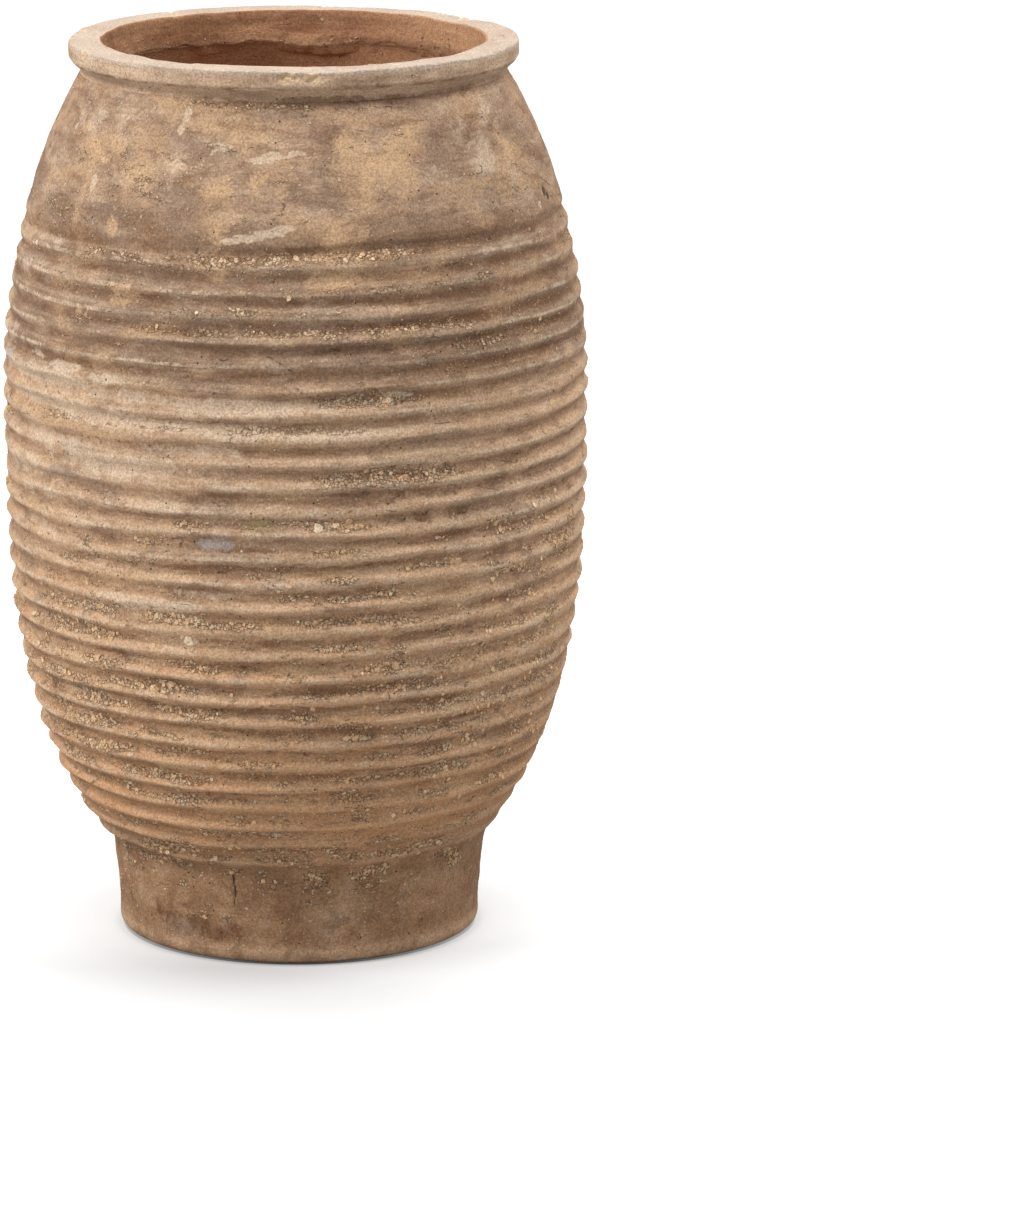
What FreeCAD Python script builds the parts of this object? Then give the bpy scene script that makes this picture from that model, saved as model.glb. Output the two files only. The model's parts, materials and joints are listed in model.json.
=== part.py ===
import FreeCAD, Part
import os
import Sketcher

# A tall storage jar with its axis on Z and its base on Z = 0. It is built up as it was made: a base disc, a
# foot, five ribbed drums, a plain shoulder and a lipped rim. Each ring stands on the keyed bed of the one
# below, and a coil of luting clay closes each bed from inside. Sizes are in millimetres.

doc = FreeCAD.newDocument("Jar")

drivers = [
    ("base_thickness", 28, "floor slab"),
    ("base_round", 13, "rounding of the bottom edge"),
    ("foot_height", 72, "foot ring, bed to bed"),
    ("foot_band", 53, "height of the plain band of the foot"),
    ("foot_step", 7.5, "how far the top of the plain band stands in from the wall line"),
    ("foot_taper", 5.5, "how much narrower the floor slab is than the top of the plain band"),
    ("foot_wall", 32, "thickness of the foot at the floor"),
    ("foot_radius", 195, "wall line at the top of the foot"),
    ("drum_1_height", 108, "lowest ribbed drum"),
    ("drum_2_height", 118, "second ribbed drum"),
    ("drum_3_height", 120, "third ribbed drum"),
    ("drum_4_height", 118, "fourth ribbed drum"),
    ("drum_5_height", 164, "uppermost ribbed drum"),
    ("drum_1_ribs", 5, "count"),
    ("drum_2_ribs", 5, "count"),
    ("drum_3_ribs", 5, "count"),
    ("drum_4_ribs", 5, "count"),
    ("drum_5_ribs", 7, "count"),
    ("rib_depth", 3.6, "crest to groove"),
    ("crest_share", 0.45, "part of each rib that is crest, the rest is groove"),
    ("belly_radius", 292, "greatest radius of the wall line"),
    ("belly_height", 560, "height of the greatest radius"),
    ("lower_fullness", 3.2, "power of the curve from belly to foot"),
    ("upper_fullness", 1.9, "power of the curve from belly to neck"),
    ("shoulder_height", 140, "plain shoulder, bed to bed"),
    ("mouth_radius", 190, "inner radius of the mouth"),
    ("neck_reach", 22, "how far the neck's outside stands out from the mouth"),
    ("neck_land", 2, "straight start of the neck above its bed"),
    ("rim_height", 32, "neck and lip together"),
    ("lip_width", 33.3, "width of the lip, mouth to outer face"),
    ("lip_face", 16, "height of the lip's outer face"),
    ("lip_round", 5, "rounding of the lip's edges"),
    ("wall_thickness", 21, "inner face to the bottom of the grooves"),
    ("key_width", 7, "width of the raised key on each bed"),
    ("key_height", 6, "height of the raised key"),
    ("key_clearance", 0.4, "space round each key"),
    ("slip_thickness", 1.5, "slip between the inner halves of a bed"),
    ("coil_reach", 11, "how far a luting coil reaches from its bed"),
    ("coil_seat", 2, "depth of the scored seat under a coil"),
    ("coil_bulge", 2.5, "how far a coil stands in from the wall"),
]

sizes = doc.addObject("Spreadsheet::Sheet", "Sizes")
for row, (alias, amount, note) in enumerate(drivers, start=1):
    sizes.set(f"A{row}", alias)
    sizes.set(f"B{row}", str(amount))
    sizes.set(f"C{row}", note)
    sizes.setAlias(f"B{row}", alias)

drums = [alias.removesuffix("_ribs") for alias, amount, note in drivers if alias.endswith("_ribs")]

# What follows from the sizes: the radii of the mouth's ring and the foot, and the heights of the beds.
derived = [
    ("neck_radius", "Sizes.mouth_radius + Sizes.neck_reach"),
    ("lip_radius", "Sizes.mouth_radius + Sizes.lip_width"),
    ("waist_radius", "Sizes.foot_radius - Sizes.foot_step"),
    ("base_radius", "waist_radius - Sizes.foot_taper"),
    ("foot_bore", "base_radius - Sizes.foot_wall"),
    ("foot_bed", "Sizes.base_thickness"),
]
top_of_last = "foot_bed + Sizes.foot_height"
for drum in drums:
    derived.append((f"{drum}_bed", top_of_last))
    top_of_last = f"{drum}_bed + Sizes.{drum}_height"
derived.append(("shoulder_bed", top_of_last))
derived.append(("rim_bed", "shoulder_bed + Sizes.shoulder_height"))
worked = doc.addObject("Spreadsheet::Sheet", "Worked")
for row, (alias, formula) in enumerate(derived, start=1):
    worked.set(f"A{row}", alias)
    worked.set(f"B{row}", f"={formula}")
    worked.setAlias(f"B{row}", alias)
doc.recompute()


def number(formula):
    return float(sizes.evalExpression(formula))


def wall_line(height):
    """Outer radius through the rib crests at a height above the floor.

    Its square falls from the belly to the foot and to the neck by a power of the distance."""
    belly = "pow(Sizes.belly_radius; 2)"
    below = f"(Sizes.belly_height - ({height})) / (Sizes.belly_height - Worked.drum_1_bed)"
    above = f"(({height}) - Sizes.belly_height) / (Worked.rim_bed - Sizes.belly_height)"
    foot_side = f"{belly} - ({belly} - pow(Sizes.foot_radius; 2)) * pow({below}; Sizes.lower_fullness)"
    neck_side = f"{belly} - ({belly} - pow(Worked.neck_radius; 2)) * pow({above}; Sizes.upper_fullness)"
    return f"sqrt(({height}) < Sizes.belly_height ? {foot_side} : {neck_side})"


def inner_line(height):
    return f"{wall_line(height)} - Sizes.rib_depth - Sizes.wall_thickness"


def draw(sketch, corners):
    """Close a section from its corners, (radius, height, via), with an arc through via to the next corner.

    Every corner and via point is held by its own pair of dimensions, taken from the sheets."""
    shown = [FreeCAD.Vector(number(x), number(y), 0) for x, y, via in corners]
    middles = {
        index: FreeCAD.Vector(number(via[0]), number(via[1]), 0)
        for index, (x, y, via) in enumerate(corners)
        if via
    }
    ends = []
    for index, start in enumerate(shown):
        end = shown[(index + 1) % len(shown)]
        if index not in middles:
            ends.append((sketch.addGeometry(Part.LineSegment(start, end)), 1, 2))
            continue
        middle = middles[index]
        turns_left = (middle - start).cross(end - start).z > 0
        arc = Part.Arc(start, middle, end) if turns_left else Part.Arc(end, middle, start)
        ends.append((sketch.addGeometry(arc), 1, 2) if turns_left else (sketch.addGeometry(arc), 2, 1))

    rules = []
    bound = []
    for index, (edge, first, last) in enumerate(ends):
        following = ends[(index + 1) % len(ends)]
        rules.append(Sketcher.Constraint("Coincident", edge, last, following[0], following[1]))
    for index, (x, y, via) in enumerate(corners):
        edge, first, last = ends[index]
        bound.append((edge, first, x, y, shown[index]))
        if via:
            point = sketch.addGeometry(Part.Point(middles[index]), True)
            rules.append(Sketcher.Constraint("PointOnObject", point, 1, edge))
            bound.append((point, 1, via[0], via[1], middles[index]))
    formulas = {}
    for geometry, place, x, y, spot in bound:
        for kind, formula, amount, axis in (("DistanceX", x, spot.x, -2), ("DistanceY", y, spot.y, -1)):
            if formula == "0":
                rules.append(Sketcher.Constraint("PointOnObject", geometry, place, axis))
                continue
            formulas[len(rules)] = formula
            rules.append(Sketcher.Constraint(kind, -1, 1, geometry, place, amount))
    sketch.addConstraint(rules)
    for index, formula in formulas.items():
        sketch.setExpression(f"Constraints[{index}]", formula)


def turned(label, bed, corners):
    """One sub-part: its section, drawn from its own bed upwards, turned round the jar's axis."""
    body = doc.addObject("PartDesign::Body", label)
    body.Label = label
    sketch = body.newObject("Sketcher::SketchObject", f"{label}_section")
    plane = next(feature for feature in body.Origin.OriginFeatures if feature.Role == "XZ_Plane")
    sketch.AttachmentSupport = (plane, [""])
    sketch.MapMode = "FlatFace"
    draw(sketch, corners)
    turn = body.newObject("PartDesign::Revolution", f"{label}_turn")
    turn.Profile = sketch
    turn.ReferenceAxis = (sketch, ["V_Axis"])
    turn.Angle = 360
    if bed != "0":
        body.setExpression("Placement.Base.z", bed)
    return body


def key_middle(bed):
    """Middle of the key, halfway between the seat at the height of the key's top and the outer groove."""
    seat = f"{inner_line(f'{bed} + Sizes.key_height + Sizes.key_clearance')} + Sizes.coil_seat"
    return f"({seat} + {wall_line(bed)} - Sizes.rib_depth) / 2"


def foot_key_middle():
    return "(Worked.base_radius + Worked.foot_bore) / 2"


def rounded(edge, top):
    """The middle of a rounded corner of the lip, where an upright edge and a flat top would meet."""
    cut = "Sizes.lip_round * (1 - sqrt(0.5))"
    return f"{edge} {cut}", f"{top} - {cut}"


def raised_key(middle, top):
    """The key on a ring's upper bed, from outside inwards."""
    outer = f"{middle} + Sizes.key_width / 2"
    inner = f"{middle} - Sizes.key_width / 2"
    crown = f"{top} + Sizes.key_height"
    return [(outer, top, None), (outer, crown, None), (inner, crown, None), (inner, top, None)]


def key_groove(middle):
    """The groove in a ring's lower bed, from inside outwards, above the slip."""
    outer = f"{middle} + Sizes.key_width / 2 + Sizes.key_clearance"
    inner = f"{middle} - Sizes.key_width / 2 - Sizes.key_clearance"
    roof = "Sizes.key_height + Sizes.key_clearance"
    slip = "Sizes.slip_thickness"
    return [(inner, slip, None), (inner, roof, None), (outer, roof, None), (outer, "0", None)]


def upper_bed(bed, top):
    """A ring's upper bed and the scored seat below its inner edge, down to the inner wall."""
    foot_of_seat = f"{bed} - Sizes.coil_reach"
    low = f"{top} - Sizes.coil_reach"
    return raised_key(key_middle(bed), top) + [
        (f"{inner_line(bed)} + Sizes.coil_seat", top, None),
        (f"{inner_line(foot_of_seat)} + Sizes.coil_seat", low, None),
    ]


def lower_bed(bed):
    """The scored seat above a ring's lower inner edge, and its lower bed, from the inner wall outwards."""
    head_of_seat = f"{bed} + Sizes.coil_reach"
    return [
        (inner_line(head_of_seat), "Sizes.coil_reach", None),
        (f"{inner_line(head_of_seat)} + Sizes.coil_seat", "Sizes.coil_reach", None),
        (f"{inner_line(bed)} + Sizes.coil_seat", "Sizes.slip_thickness", None),
    ] + key_groove(key_middle(bed))


def ribs(bed, height, count):
    """The ribbed face from its lower bed to its upper one: a crest arc and a groove arc for each rib."""
    pitch = f"({height}) / {count}"
    depth = "Sizes.rib_depth"
    share = "Sizes.crest_share"

    def face(local, sunk):
        return f"{wall_line(f'{bed} + {local}')} - {sunk}", local

    sunk_side = f"{share} * {depth}"
    sunk_groove = f"{depth} * (1 - (1 - {share}) / 4)"
    corners = []
    for rib in range(count):
        quarter = face(f"{pitch} * ({rib} + (1 - {share}) / 4)", sunk_groove)
        side = face(f"{pitch} * ({rib} + (1 - {share}) / 2)", sunk_side)
        crest = face(f"{pitch} * ({rib} + 0.5)", "0")
        far_side = face(f"{pitch} * ({rib} + (1 + {share}) / 2)", sunk_side)
        far_quarter = face(f"{pitch} * ({rib + 1} - (1 - {share}) / 4)", sunk_groove)
        groove = face(f"{pitch} * {rib + 1}", depth)
        if rib == 0:
            corners.append((f"{wall_line(bed)} - {depth}", "0", quarter))
        corners.append((*side, crest))
        corners.append((*far_side, far_quarter if rib == count - 1 else groove))
    corners.append((f"{wall_line(f'{bed} + {height}')} - {depth}", height, None))
    return corners


def base_disc():
    corner = "Sizes.base_round * (1 - sqrt(0.5))"
    flat = "Worked.base_radius - Sizes.base_round"
    return turned("base_disc", "0", [
        ("0", "0", None),
        (flat, "0", (f"Worked.base_radius - {corner}", corner)),
        ("Worked.base_radius", "Sizes.base_round", None),
        ("Worked.base_radius", "Sizes.base_thickness", None),
        *raised_key(foot_key_middle(), "Sizes.base_thickness"),
        ("0", "Sizes.base_thickness", None),
    ])


def foot_ring():
    height = "Sizes.foot_height"
    top = "Worked.drum_1_bed"
    groove = f"{wall_line(top)} - Sizes.rib_depth"
    hollow = f"Worked.waist_radius + ({groove} - Worked.waist_radius) / 3"
    halfway = "(Sizes.foot_band + Sizes.foot_height) / 2"
    return turned("foot_ring", "Worked.foot_bed", [
        ("Worked.base_radius", "0", None),
        ("Worked.waist_radius", "Sizes.foot_band", (hollow, halfway)),
        (groove, height, None),
        *upper_bed(top, height),
        (inner_line(f"{top} - Sizes.coil_reach"), "Sizes.foot_height - Sizes.coil_reach", None),
        ("Worked.foot_bore", "Sizes.coil_reach", None),
        ("Worked.foot_bore", "Sizes.slip_thickness", None),
        *key_groove(foot_key_middle()),
    ])


def wall_drum(drum):
    bed = f"Worked.{drum}_bed"
    height = f"Sizes.{drum}_height"
    top = f"({bed} + {height})"
    count = round(number(f"Sizes.{drum}_ribs"))
    seat_foot = f"{height} - Sizes.coil_reach"
    middle = (inner_line(f"{bed} + {height} / 2"), f"{height} / 2")
    return turned(f"wall_{drum}", bed, [
        *ribs(bed, height, count),
        *upper_bed(top, height),
        (inner_line(f"{top} - Sizes.coil_reach"), seat_foot, middle),
        *lower_bed(bed),
    ])


def shoulder_ring():
    bed = "Worked.shoulder_bed"
    height = "Sizes.shoulder_height"
    top = "Worked.rim_bed"
    rise = f"Sizes.{drums[-1]}_height / Sizes.{drums[-1]}_ribs * (1 - Sizes.crest_share)"
    low, waist, high = (f"{rise} + ({height} - {rise}) * {quarter} / 4" for quarter in (1, 2, 3))
    start_of_rise = (f"{wall_line(f'{bed} + {rise} / 2')} - Sizes.rib_depth / 2", f"{rise} / 2")
    middle = (inner_line(f"{bed} + {height} / 2"), f"{height} / 2")

    def face(local):
        return wall_line(f"{bed} + {local}"), local

    return turned("shoulder_ring", bed, [
        (f"{wall_line(bed)} - Sizes.rib_depth", "0", start_of_rise),
        (*face(rise), face(low)),
        (*face(waist), face(high)),
        ("Worked.neck_radius", height, None),
        *upper_bed(top, height),
        (inner_line(f"{top} - Sizes.coil_reach"), f"{height} - Sizes.coil_reach", middle),
        *lower_bed(bed),
    ])


def rim_ring():
    bed = "Worked.rim_bed"
    top = "Sizes.rim_height"
    underside = f"{top} - Sizes.lip_face"
    return turned("rim_ring", bed, [
        ("Worked.neck_radius", "0", None),
        ("Worked.neck_radius", "Sizes.neck_land", None),
        ("Worked.lip_radius", underside, None),
        ("Worked.lip_radius", f"{top} - Sizes.lip_round", rounded("Worked.lip_radius -", top)),
        ("Worked.lip_radius - Sizes.lip_round", top, None),
        ("Sizes.mouth_radius + Sizes.lip_round", top, rounded("Sizes.mouth_radius +", top)),
        ("Sizes.mouth_radius", f"{top} - Sizes.lip_round", None),
        *lower_bed(bed),
    ])


def luting_coil(label, bed):
    """A coil on the inner wall over a bed, with the slip that it drives into the bed as far as the key."""
    key_side = f"{key_middle(bed)} - Sizes.key_width / 2"
    low = f"{bed} - Sizes.coil_reach"
    high = f"{bed} + Sizes.coil_reach"
    seat = f"{inner_line(bed)} + Sizes.coil_seat"
    return turned(label, bed, [
        (seat, "0", None),
        (key_side, "0", None),
        (key_side, "Sizes.slip_thickness", None),
        (seat, "Sizes.slip_thickness", None),
        (f"{inner_line(high)} + Sizes.coil_seat", "Sizes.coil_reach", None),
        (inner_line(high), "Sizes.coil_reach", (f"{inner_line(bed)} - Sizes.coil_bulge", "0")),
        (inner_line(low), "-Sizes.coil_reach", None),
        (f"{inner_line(low)} + Sizes.coil_seat", "-Sizes.coil_reach", None),
    ])


def luting_coil_base():
    """The coil in the corner between the floor and the foot, with its slip under the foot."""
    key_side = f"{foot_key_middle()} - Sizes.key_width / 2"
    bend = "Worked.foot_bore - Sizes.coil_reach / 3"
    return turned("luting_coil_base", "Worked.foot_bed", [
        ("Worked.foot_bore - Sizes.coil_reach", "0", None),
        (key_side, "0", None),
        (key_side, "Sizes.slip_thickness", None),
        ("Worked.foot_bore", "Sizes.slip_thickness", None),
        ("Worked.foot_bore", "Sizes.coil_reach", (bend, "Sizes.coil_reach / 3")),
    ])


parts = [base_disc(), foot_ring()]
parts += [wall_drum(drum) for drum in drums]
parts += [shoulder_ring(), rim_ring(), luting_coil_base()]
beds = [f"Worked.{drum}_bed" for drum in drums] + ["Worked.shoulder_bed", "Worked.rim_bed"]
parts += [luting_coil(f"luting_coil_{place}", bed) for place, bed in enumerate(beds, start=1)]
doc.recompute()

for thing in doc.Objects:
    if "Invalid" in thing.State or "Error" in thing.State:
        raise RuntimeError(f"{thing.Label} failed: {thing.State}")
for part in parts:
    if part.Shape.isNull() or not part.Shape.isValid() or len(part.Shape.Solids) != 1:
        raise RuntimeError(f"{part.Label} is not one valid solid")

os.makedirs("parts", exist_ok=True)
for part in parts:
    part.Shape.exportStep(f"parts/{part.Label}.step")
    box = part.Shape.optimalBoundingBox(True)
    litres = part.Shape.Volume / 1e6
    print(f"{part.Label}: {litres:.3f} litres, Z {box.ZMin:.1f} to {box.ZMax:.1f}, width {box.XLength:.1f}")
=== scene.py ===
import json
import math
import bpy
import numpy as np
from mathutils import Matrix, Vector

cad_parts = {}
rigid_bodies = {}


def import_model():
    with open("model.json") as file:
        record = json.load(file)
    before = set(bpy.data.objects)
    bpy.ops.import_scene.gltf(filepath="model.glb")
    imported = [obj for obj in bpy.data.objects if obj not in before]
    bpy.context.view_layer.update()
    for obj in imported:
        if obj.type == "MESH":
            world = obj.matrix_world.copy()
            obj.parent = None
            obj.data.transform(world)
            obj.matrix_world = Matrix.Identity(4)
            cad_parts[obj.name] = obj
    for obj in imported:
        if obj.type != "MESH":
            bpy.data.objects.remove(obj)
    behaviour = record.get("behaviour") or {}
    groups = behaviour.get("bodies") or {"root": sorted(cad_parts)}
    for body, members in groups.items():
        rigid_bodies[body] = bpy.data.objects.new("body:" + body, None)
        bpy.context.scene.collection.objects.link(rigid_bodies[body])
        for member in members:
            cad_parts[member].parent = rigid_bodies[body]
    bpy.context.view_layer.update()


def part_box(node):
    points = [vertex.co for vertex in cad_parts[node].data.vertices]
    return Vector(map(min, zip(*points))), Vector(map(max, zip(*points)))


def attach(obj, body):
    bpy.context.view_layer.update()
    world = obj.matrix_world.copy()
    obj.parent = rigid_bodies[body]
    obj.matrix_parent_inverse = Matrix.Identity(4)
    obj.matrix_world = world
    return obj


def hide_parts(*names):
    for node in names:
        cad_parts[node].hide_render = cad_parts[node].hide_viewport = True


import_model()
print("frame loaded")

# The view of the photograph: a long lens, a little above the rim, turned slightly to the jar's right.
view = {"distance": 7.216, "height": 1.975, "down": 12.96, "right": 1.727, "roll": 0.0,
        "focalPixels": 7365.6, "longSidePixels": 1229, "sensor": 36}

# The jar's own sizes, in metres. Heights of the beds come from the frame.
jar = {"footRadius": 0.195, "footStep": 0.0075, "footTaper": 0.0055, "footBand": 0.053, "footWall": 0.032,
       "footSweep": 1.6, "baseRound": 0.013, "bellyRadius": 0.292, "bellyHeight": 0.560, "lowerFullness": 3.2,
       "upperFullness": 1.9, "neckRadius": 0.212, "neckLand": 0.002, "wall": 0.021, "ribDepth": 0.0036,
       "sharpLow": 2.3, "sharpHigh": 0.75, "keyWidth": 0.007, "keyHeight": 0.006, "keyGap": 0.0004,
       "keyInset": 0.002, "lipRadius": 0.2233, "lipFace": 0.019, "lipRound": 0.0020, "lipSoft": 0.004,
       "mouthRadius": 0.190}
# How finely the pieces are turned: steps round the jar, heights of rows, widths of rings, parts of a curve.
fine = {"steps": 860, "row": 0.0019, "innerRow": 0.014, "neckRow": 0.001, "faceRow": 0.0012,
        "topRing": 0.0016, "floorRing": 0.012, "underLip": 16, "insideLip": 14, "weld": 0.00002,
        "softEdge": 65}
ribCounts = {"wall_drum_1": 5, "wall_drum_2": 5, "wall_drum_3": 5, "wall_drum_4": 5, "wall_drum_5": 7}
ringNames = ["foot_ring", *ribCounts, "shoulder_ring", "rim_ring"]
bed = {name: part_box(name)[0][2] for name in ringNames}
bed["top"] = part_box("rim_ring")[1][2]
topOf = dict(zip(ringNames, [bed[name] for name in ringNames[1:]] + [bed["top"]]))


class Wires:
    # Short ways to add and join nodes, in shader and geometry trees alike.
    def __init__(self, tree):
        self.tree = tree

    def node(self, kind, inputs=None, **settings):
        made = self.tree.nodes.new(kind)
        for name, value in settings.items():
            setattr(made, name, value)
        for name, value in (inputs or {}).items():
            self.feed(made.inputs[name], value)
        return made

    def feed(self, socket, value):
        if isinstance(value, bpy.types.NodeSocket):
            self.tree.links.new(value, socket)
        else:
            socket.default_value = value

    def math(self, operation, first, second=0.0, clamp=False):
        made = self.node("ShaderNodeMath", {0: first, 1: second}, operation=operation, use_clamp=clamp)
        return made.outputs[0]

    def add(self, first, second):
        return self.math("ADD", first, second)

    def less(self, first, second):
        return self.math("SUBTRACT", first, second)

    def times(self, first, second):
        return self.math("MULTIPLY", first, second)

    def about(self, noise, amount):
        return self.times(self.less(noise, 0.5), amount)

    def smooth(self, value, low, high, start=0.0, end=1.0):
        made = self.node("ShaderNodeMapRange", {"Value": value, "From Min": low, "From Max": high,
                                                "To Min": start, "To Max": end},
                         interpolation_type="SMOOTHSTEP")
        return made.outputs["Result"]

    def stretch(self, vector, x, y, z):
        return self.node("ShaderNodeVectorMath", {0: vector, 1: (x, y, z)}, operation="MULTIPLY").outputs[0]

    def noise(self, vector, scale, detail=2.0, rough=0.5, warp=0.0):
        made = self.node("ShaderNodeTexNoise", {"Vector": vector, "Scale": scale, "Detail": detail,
                                                "Roughness": rough, "Distortion": warp})
        return made.outputs[0]

    def drawn(self, place, across, up, detail=2.0, rough=0.5, warp=0.0):
        # Noise with its own scale round the jar and its own up the jar.
        return self.noise(self.stretch(place, across, across, up), 1.0, detail, rough, warp)

    def shifted(self, vector, scatter, amount):
        shift = self.stretch(scatter, amount, amount, amount)
        return self.node("ShaderNodeVectorMath", {0: vector, 1: shift}, operation="ADD").outputs[0]

    def part(self, vector, index):
        return self.node("ShaderNodeSeparateXYZ", {0: vector}).outputs[index]

    def colourPart(self, colour, index):
        return self.node("ShaderNodeSeparateColor", {0: colour}).outputs[index]

    def seenStraight(self):
        # 1 where the camera sees the surface itself, or sees it in glass or metal.
        path = self.node("ShaderNodeLightPath").outputs
        seen = self.math("MAXIMUM", path["Is Camera Ray"], path["Is Glossy Ray"])
        return self.math("MAXIMUM", seen, path["Is Transmission Ray"])

    def chance(self, kind, seed, low, high):
        # A number or a vector at random, its own for each point.
        made = self.node("FunctionNodeRandomValue", {"Seed": seed}, data_type=kind)
        at = 2 if kind == "FLOAT" else 0
        self.feed(made.inputs[at], low)
        self.feed(made.inputs[at + 1], high)
        return made.outputs[1 if kind == "FLOAT" else 0]

    def cells(self, vector, scale, feature="F1"):
        return self.node("ShaderNodeTexVoronoi", {"Vector": vector, "Scale": scale}, feature=feature)

    def attribute(self, name):
        return self.node("ShaderNodeAttribute", attribute_name=name).outputs["Fac"]

    def named(self, name):
        made = self.node("GeometryNodeInputNamedAttribute", {"Name": name}, data_type="FLOAT")
        return made.outputs[0]

    def mix(self, factor, first, second, blend="MIX"):
        made = self.node("ShaderNodeMix", data_type="RGBA", blend_type=blend)
        self.feed(made.inputs[0], factor)
        self.feed(made.inputs[6], first)
        self.feed(made.inputs[7], second)
        return made.outputs[2]

    def ramp(self, value, stops):
        made = self.node("ShaderNodeValToRGB", {"Fac": value})
        while len(made.color_ramp.elements) < len(stops):
            made.color_ramp.elements.new(0.5)
        for element, (place, colour) in zip(made.color_ramp.elements, stops):
            element.position = place
            element.color = (*colour, 1.0)
        return made.outputs["Color"]


def ledge(wires, lee, crest, above=1.15, behind=1.1, share=1.0):
    # Most on the side of a rib that looks up and in the groove, where dust and lime come to rest.
    rest = wires.times(wires.less(above, lee), wires.less(behind, crest))
    return wires.add(wires.times(rest, share), 1.0 - share)


geometry = [("Geometry", "NodeSocketGeometry")]


def group(name, kind, inputs, outputs):
    tree = bpy.data.node_groups.new(name, kind)
    for label, socket in inputs:
        tree.interface.new_socket(label, in_out="INPUT", socket_type=socket)
    for label, socket in outputs:
        tree.interface.new_socket(label, in_out="OUTPUT", socket_type=socket)
    wires = Wires(tree)
    return tree, wires, wires.node("NodeGroupInput"), wires.node("NodeGroupOutput")


# Camera, floor and light.
def placeCamera():
    lens = view["focalPixels"] / view["longSidePixels"] * view["sensor"]
    bpy.ops.object.camera_add(location=(0, -view["distance"], view["height"]),
                              rotation=(math.radians(90 - view["down"]), math.radians(view["roll"]),
                                        -math.radians(view["right"])))
    camera = bpy.context.object
    camera.data.lens = lens
    camera.data.sensor_width = view["sensor"]
    camera.data.clip_end = 100
    bpy.context.scene.camera = camera


# The glows are the lit floor beside and before the foot, dimmed near the foot as a painted shadow:
# millimetres from the foot's edge, and brightness.
studio = {"skyLight": 0.38, "floorSize": 60, "floorColour": (0.5, 0.5, 0.5), "floorRough": 0.9,
          "contactShadowColour": (0.01, 0.008, 0.006), "contactShadowEdge": 0.1762, "contactShadowWidth": 0.003, "footEdge": 0.182,
          "fadeWidth": 0.42,
          "sideGlowWithShadow": [(0, 0.40), (3, 0.46), (6, 0.50), (13, 0.53), (20, 0.55), (27, 0.56), (40, 0.58),
                       (70, 0.64), (200, 0.74), (420, 0.86)],
          "frontGlowWithShadow": [(0, 0.05), (3, 0.20), (6, 0.23), (12, 0.22), (25, 0.20), (50, 0.20), (100, 0.24),
                        (150, 0.29), (325, 0.51), (420, 0.62)],
          "keyPlace": (-3.3, -1.6, 3.6), "keySize": 2.4, "keyPower": 190.0,
          "topPlace": (2.3, -0.6, 4.4), "topSize": 2.2, "topPower": 145.0}


def softLamp(name, place, size, power):
    bpy.ops.object.light_add(type="AREA", location=place)
    lamp = bpy.context.object
    lamp.name = name
    lamp.data.shape = "DISK"
    lamp.data.size = size
    lamp.data.energy = power
    towards = -lamp.location
    towards.z += jar["bellyHeight"]
    lamp.rotation_euler = towards.to_track_quat("-Z", "Y").to_euler()


def lightStudio():
    world = bpy.data.worlds.new("studio")
    bpy.context.scene.world = world
    world.use_nodes = True
    wires = Wires(world.node_tree)
    world.node_tree.nodes.clear()
    strength = wires.smooth(wires.seenStraight(), 0.0, 1.0, studio["skyLight"], 1.0)
    back = wires.node("ShaderNodeBackground", {"Color": (1, 1, 1, 1), "Strength": strength})
    wires.node("ShaderNodeOutputWorld", {"Surface": back.outputs[0]})
    softLamp("keyLamp", studio["keyPlace"], studio["keySize"], studio["keyPower"])
    softLamp("topLamp", studio["topPlace"], studio["topSize"], studio["topPower"])
    bpy.context.scene.view_settings.view_transform = "Standard"


def glowStops(pairs):
    return [(gone / 1000 / studio["fadeWidth"], (level, level, level)) for gone, level in pairs]


def layFloor():
    bpy.ops.object.select_all(action="DESELECT")
    bpy.ops.mesh.primitive_plane_add(size=studio["floorSize"], location=(0, 0, 0))
    floor = bpy.context.object
    floor.name = "floor"
    material = bpy.data.materials.new("paleFloor")
    material.use_nodes = True
    wires = Wires(material.node_tree)
    shader = material.node_tree.nodes["Principled BSDF"]
    place = wires.node("ShaderNodeTexCoord").outputs["Object"]
    away = wires.node("ShaderNodeVectorMath", {0: place}, operation="LENGTH").outputs["Value"]
    ahead = wires.math("MAXIMUM", wires.math("DIVIDE", wires.times(wires.part(place, 1), -1.0), away), 0.0)
    beyond = wires.math("DIVIDE", wires.less(away, studio["footEdge"]), studio["fadeWidth"], True)
    # The glow dims towards the foot: a painted shadow, deepest in front.
    glow = wires.mix(wires.times(ahead, ahead), wires.ramp(beyond, glowStops(studio["sideGlowWithShadow"])),
                     wires.ramp(beyond, glowStops(studio["frontGlowWithShadow"])))
    # Painted contact shadow: a dark ring on the floor at the foot's edge.
    contactShadow = wires.math("DIVIDE", wires.less(away, studio["contactShadowEdge"]), studio["contactShadowWidth"], True)
    ground = wires.ramp(contactShadow, [(0.0, studio["contactShadowColour"]), (1.0, studio["floorColour"])])
    wires.feed(shader.inputs["Base Color"], ground)
    shader.inputs["Roughness"].default_value = studio["floorRough"]
    shader.inputs["Specular IOR Level"].default_value = 0.0
    shader.inputs["Emission Color"].default_value = (1, 1, 1, 1)
    wires.feed(shader.inputs["Emission Strength"], wires.times(wires.seenStraight(), glow))
    floor.data.materials.append(material)


placeCamera()
lightStudio()
layFloor()
print("camera, light and floor placed")


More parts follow.
